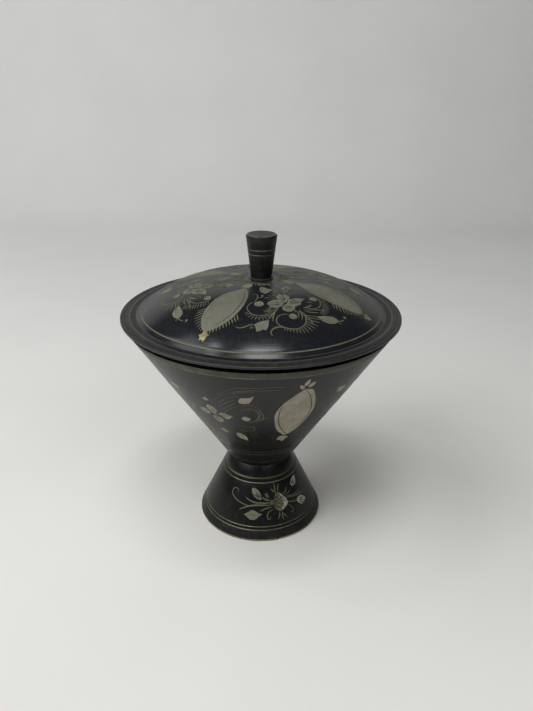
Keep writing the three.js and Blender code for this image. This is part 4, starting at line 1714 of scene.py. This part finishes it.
# The knob: a solid taper of turned brass, wider at the top and lacquered black, with two cut lines.
# Its top is rubbed by fingers, and its edge is worn through to the brass.
knob_low, knob_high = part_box("knob")
KNOB_BASE = knob_low.z / MM
KNOB_TOP = knob_high.z / MM
KNOB_TOP_RADIUS = 9.8
KNOB_BASE_RADIUS = 6.6
KNOB_EDGE_ROUND = 1.3
KNOB_EDGE_STEPS = 8
KNOB_WORN_FROM_STEP = 5
KNOB_TOP_RINGS = [(1.2, 0.5, "knob_ring"), (3.6, 0.4, "knob_ring"), (5.8, 0.5, "knob_ring")]
KNOB_LINES_FROM_TOP = [(8.6, 0.75), (11.7, 0.75)]
KNOB_SCREW_HOLE_DEPTH = 11
knob_height = KNOB_TOP - KNOB_BASE
knob_hole_top = KNOB_BASE + KNOB_SCREW_HOLE_DEPTH

knob_lacquer = lacquer_finish(
    "knob_lacquer",
    black=(0.006, 0.0061, 0.0068, 1),
    thin=(0.026, 0.025, 0.023, 1),
    roughness=0.34,
    rings=1300.0,
    ring_depth=0.02,
    scratches=1.0,
)
knob_top_lacquer = lacquer_finish(
    "knob_top_lacquer",
    black=(0.02, 0.02, 0.0205, 1),
    thin=(0.078, 0.076, 0.07, 1),
    roughness=0.42,
    rings=1600.0,
    ring_depth=0.02,
    scratches=1.0,
)
knob_ring = lacquer_finish(
    "knob_ring_lacquer",
    black=(0.055, 0.055, 0.053, 1),
    thin=(0.10, 0.098, 0.088, 1),
    roughness=0.42,
    rings=1600.0,
    ring_depth=0.02,
)
knob_line = metal_finish(
    "knob_cut_line",
    pale=(0.235, 0.224, 0.17, 1),
    dull=(0.16, 0.15, 0.108, 1),
    roughness=0.5,
    rings=1500.0,
    ring_depth=0.004,
    mottling=90.0,
)
knob_rim = worn_edge_finish(
    "knob_worn_rim",
    black=(0.03, 0.029, 0.026, 1),
    metal=(0.4, 0.365, 0.25, 1),
    bared=0.75,
    roughness=0.42,
)
round_centre = Vector((KNOB_TOP_RADIUS - KNOB_EDGE_ROUND, KNOB_TOP - KNOB_EDGE_ROUND))
knob_edge_round = []
for step in range(KNOB_EDGE_STEPS + 1):
    angle = math.pi / 2 * step / KNOB_EDGE_STEPS
    finish = "knob_side" if step < KNOB_WORN_FROM_STEP else "knob_rim"
    point = round_centre + KNOB_EDGE_ROUND * Vector((math.cos(angle), math.sin(angle)))
    knob_edge_round.append((point.x, point.y, finish))
knob_outline = [
    (0, knob_hole_top, "turned_brass"),
    (SCREW_HOLE_RADIUS, knob_hole_top, "turned_brass"),
    (SCREW_HOLE_RADIUS, KNOB_BASE, "turned_brass"),
    *straight(
        (KNOB_BASE_RADIUS, KNOB_BASE),
        (KNOB_TOP_RADIUS, KNOB_TOP - KNOB_EDGE_ROUND),
        [(knob_height - distance, width, "knob_line") for distance, width in KNOB_LINES_FROM_TOP],
        "knob_side",
    ),
    *knob_edge_round[:-1],
    *straight((KNOB_TOP_RADIUS - KNOB_EDGE_ROUND, KNOB_TOP), (0, KNOB_TOP), KNOB_TOP_RINGS, "knob_top"),
    (0, KNOB_TOP, "knob_top"),
]
knob = turn_on_lathe(
    "knob_turned",
    knob_outline,
    {
        "knob_side": knob_lacquer,
        "knob_top": knob_top_lacquer,
        "knob_rim": knob_rim,
        "knob_ring": knob_ring,
        "knob_line": knob_line,
        "turned_brass": inside_brass,
    },
    SMALL_SIDES,
    corner=0.08,
)
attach(knob, "lid_assembly")
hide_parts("knob")

# The collar: a thin turned ring of brass that the knob's screw clamps between the knob and the
# dome. Its lacquer is worn, and dull grey metal shows through in patches.
collar_metal = worn_edge_finish(
    "collar_worn_metal",
    black=(0.027, 0.028, 0.03, 1),
    metal=(0.13, 0.127, 0.112, 1),
    bared=0.25,
    roughness=0.45,
)
collar_low, collar_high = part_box("knob_collar")
COLLAR_RADIUS = collar_high.x / MM
collar_outline = ring_section(SCREW_HOLE_RADIUS, COLLAR_RADIUS, collar_low, collar_high, "worn")
collar = turn_on_lathe(
    "knob_collar_turned", collar_outline, {"worn": collar_metal}, SMALL_SIDES, corner=0.2
)
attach(collar, "lid_assembly")
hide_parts("knob_collar")

# The knob's washer and screw: a round washer under the dome, and a slotted cheese-head screw that
# goes up through it into the knob. Both are plain brass hardware, dull and finger-marked.
SCREW_RADIUS = 2
SCREW_PITCH = 0.7
SCREW_THREAD_DEPTH = 0.3
SCREW_SLOT_WIDTH = 1
SCREW_SLOT_DEPTH = 1.1
SCREW_HEAD_CORNER = 0.25
SCREW_POINT_HEIGHT = 0.3
SCREW_POINT_NARROWING = 0.4

knob_washer_low, knob_washer_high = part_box("knob_washer")
knob_washer_outline = ring_section(
    SCREW_HOLE_RADIUS, knob_washer_high.x / MM, knob_washer_low, knob_washer_high, "brass"
)
knob_washer = turn_on_lathe(
    "knob_washer_turned", knob_washer_outline, in_fixing_brass, SMALL_SIDES, corner=0.2
)
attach(knob_washer, "lid_assembly")
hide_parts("knob_washer")

screw_low, screw_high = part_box("knob_screw")
head_bottom, screw_tip = screw_low.z / MM, screw_high.z / MM
head_radius = screw_high.x / MM
head_top = knob_washer_low.z / MM
point_start = screw_tip - SCREW_POINT_HEIGHT
screw_outline = [
    (0, head_bottom, "brass"),
    (head_radius - SCREW_HEAD_CORNER, head_bottom, "brass"),
    (head_radius, head_bottom + SCREW_HEAD_CORNER, "brass"),
    (head_radius, head_top, "brass"),
    *threaded(SCREW_RADIUS, head_top, point_start, SCREW_PITCH, SCREW_THREAD_DEPTH, "brass"),
    (SCREW_RADIUS - SCREW_POINT_NARROWING, screw_tip, "brass"),
    (0, screw_tip, "brass"),
]
screw = turn_on_lathe("knob_screw_slotted", screw_outline, in_nut_brass, SMALL_SIDES, corner=0)
deselect_all()
bpy.ops.mesh.primitive_cube_add(size=1, location=(0, 0, head_bottom * MM))
slot_cutter = bpy.context.object
slot_cutter.scale = (3 * head_radius * MM, SCREW_SLOT_WIDTH * MM, 2 * SCREW_SLOT_DEPTH * MM)
bpy.ops.object.transform_apply(location=True, rotation=True, scale=True)
join_by(screw, slot_cutter, "DIFFERENCE")
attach(screw, "lid_assembly")
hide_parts("knob_screw")

# The stage: a pale table top that sweeps up behind the bowl, and soft light from above and from
# the left. Its sizes are in metres.
FLOOR_HALF_WIDTH = 1.6
FLOOR_FRONT = -1.4
SWEEP_START = 0.95
SWEEP_RADIUS = 0.25
SWEEP_SEGMENTS = 24
WALL_TOP = 1.0
NEAR_CLOTH = (0.88, 0.865, 0.826, 1)
NEAR_CLOTH_SHADE = (0.85, 0.835, 0.797, 1)
FAR_CLOTH = (0.87, 0.864, 0.849, 1)
FAR_CLOTH_SHADE = (0.84, 0.834, 0.819, 1)
FAR_CLOTH_STARTS = 0.5
WEAVE_SCALE = 160.0
WEAVE_DEPTH = 0.0003

pale_cloth, cloth_tree, cloth_shader = new_surface("pale_cloth")
cloth_shader.inputs["Roughness"].default_value = 0.75
cloth_place = own_place(cloth_tree)
cloth_distance = new_node(cloth_tree, "ShaderNodeSeparateXYZ", Vector=cloth_place).outputs["Y"]
cloth_fade = mapped(cloth_tree, cloth_distance, 0.0, FAR_CLOTH_STARTS)
cloth_shade = mapped(cloth_tree, noise_value(cloth_tree, cloth_place, 5.0, 3.0), 0.3, 0.7)
cloth_near = mixed(cloth_tree, cloth_shade, NEAR_CLOTH, NEAR_CLOTH_SHADE)
cloth_far = mixed(cloth_tree, cloth_shade, FAR_CLOTH, FAR_CLOTH_SHADE)
cloth_colour = mixed(cloth_tree, cloth_fade, cloth_near, cloth_far)
cloth_tree.links.new(cloth_colour, cloth_shader.inputs["Base Color"])
weave = noise_value(cloth_tree, cloth_place, WEAVE_SCALE, detail=4.0)
raise_bump(cloth_tree, cloth_shader, weave, WEAVE_DEPTH, strength=0.35)

deselect_all()
bpy.ops.mesh.primitive_plane_add(size=1, location=(0, 0, 0))
floor = bpy.context.object
name_piece(floor, "floor")
floor.scale = (2 * FLOOR_HALF_WIDTH, SWEEP_START - FLOOR_FRONT, 1)
floor.location = (0, (SWEEP_START + FLOOR_FRONT) / 2, 0)
bpy.ops.object.transform_apply(location=True, rotation=True, scale=True)
bpy.ops.object.mode_set(mode="EDIT")
bpy.ops.mesh.select_all(action="DESELECT")
bpy.ops.object.mode_set(mode="OBJECT")
for edge in floor.data.edges:
    edge.select = all(floor.data.vertices[v].co.y > SWEEP_START - 0.01 for v in edge.vertices)
bpy.ops.object.mode_set(mode="EDIT")
bpy.ops.mesh.select_mode(type="EDGE")
bpy.ops.mesh.extrude_region_move(TRANSFORM_OT_translate={"value": (0, SWEEP_RADIUS, 0)})
bpy.ops.mesh.extrude_region_move(TRANSFORM_OT_translate={"value": (0, 0, WALL_TOP)})
bpy.ops.object.mode_set(mode="OBJECT")
sweep = floor.modifiers.new("sweep", "BEVEL")
sweep.width = SWEEP_RADIUS
sweep.segments = SWEEP_SEGMENTS
sweep.limit_method = "ANGLE"
apply_modifiers(floor)
bpy.ops.object.shade_smooth()
floor.data.materials.append(pale_cloth)


def add_softbox(name, place, aim, size, power, colour=(1, 1, 1)):
    """A soft light: its place and what it faces in metres, its size, watts and colour."""
    deselect_all()
    bpy.ops.object.light_add(type="AREA", location=place)
    lamp = bpy.context.object
    lamp.name = name
    lamp.data.shape = "RECTANGLE"
    lamp.data.size, lamp.data.size_y = size
    lamp.data.energy = power
    lamp.data.color = colour
    lamp.rotation_euler = (Vector(aim) - Vector(place)).to_track_quat("-Z", "Y").to_euler()


COOL_WHITE = (0.95, 0.98, 1)
DAYLIGHT = (0.985, 1, 0.985)
add_softbox("ceiling_lamp", (0.02, -0.195, 1.35), (0.02, -0.195, 0), (0.4, 0.12), 2.05, COOL_WHITE)
add_softbox("small_lamp", (-0.52, -0.02, 1.30), (0, -0.07, 0.16), (0.14, 0.12), 0.55)
add_softbox("window_left_front", (-1.1, -0.9, 1.25), (0, 0, 0), (1.2, 1.2), 11.7, DAYLIGHT)
add_softbox("window_left", (-1.3, -0.2, 1.3), (0, 0, 0), (1.2, 1.2), 10.6, DAYLIGHT)
add_softbox("window_right_front", (0.6, -1.2, 1.3), (0, 0, 0), (1, 1), 5)
add_softbox("lamp_in_front", (-0.1, -0.5, 1.4), (-0.1, -0.5, 0), (0.5, 0.5), 3.2)

ROOM_COLOUR = (0.056, 0.057, 0.058, 1)
room = bpy.data.worlds.new("room")
bpy.context.scene.world = room
room.use_nodes = True
room.node_tree.nodes["Background"].inputs["Color"].default_value = ROOM_COLOUR
room.node_tree.nodes["Background"].inputs["Strength"].default_value = 1.0

bpy.context.scene.view_settings.view_transform = "Standard"
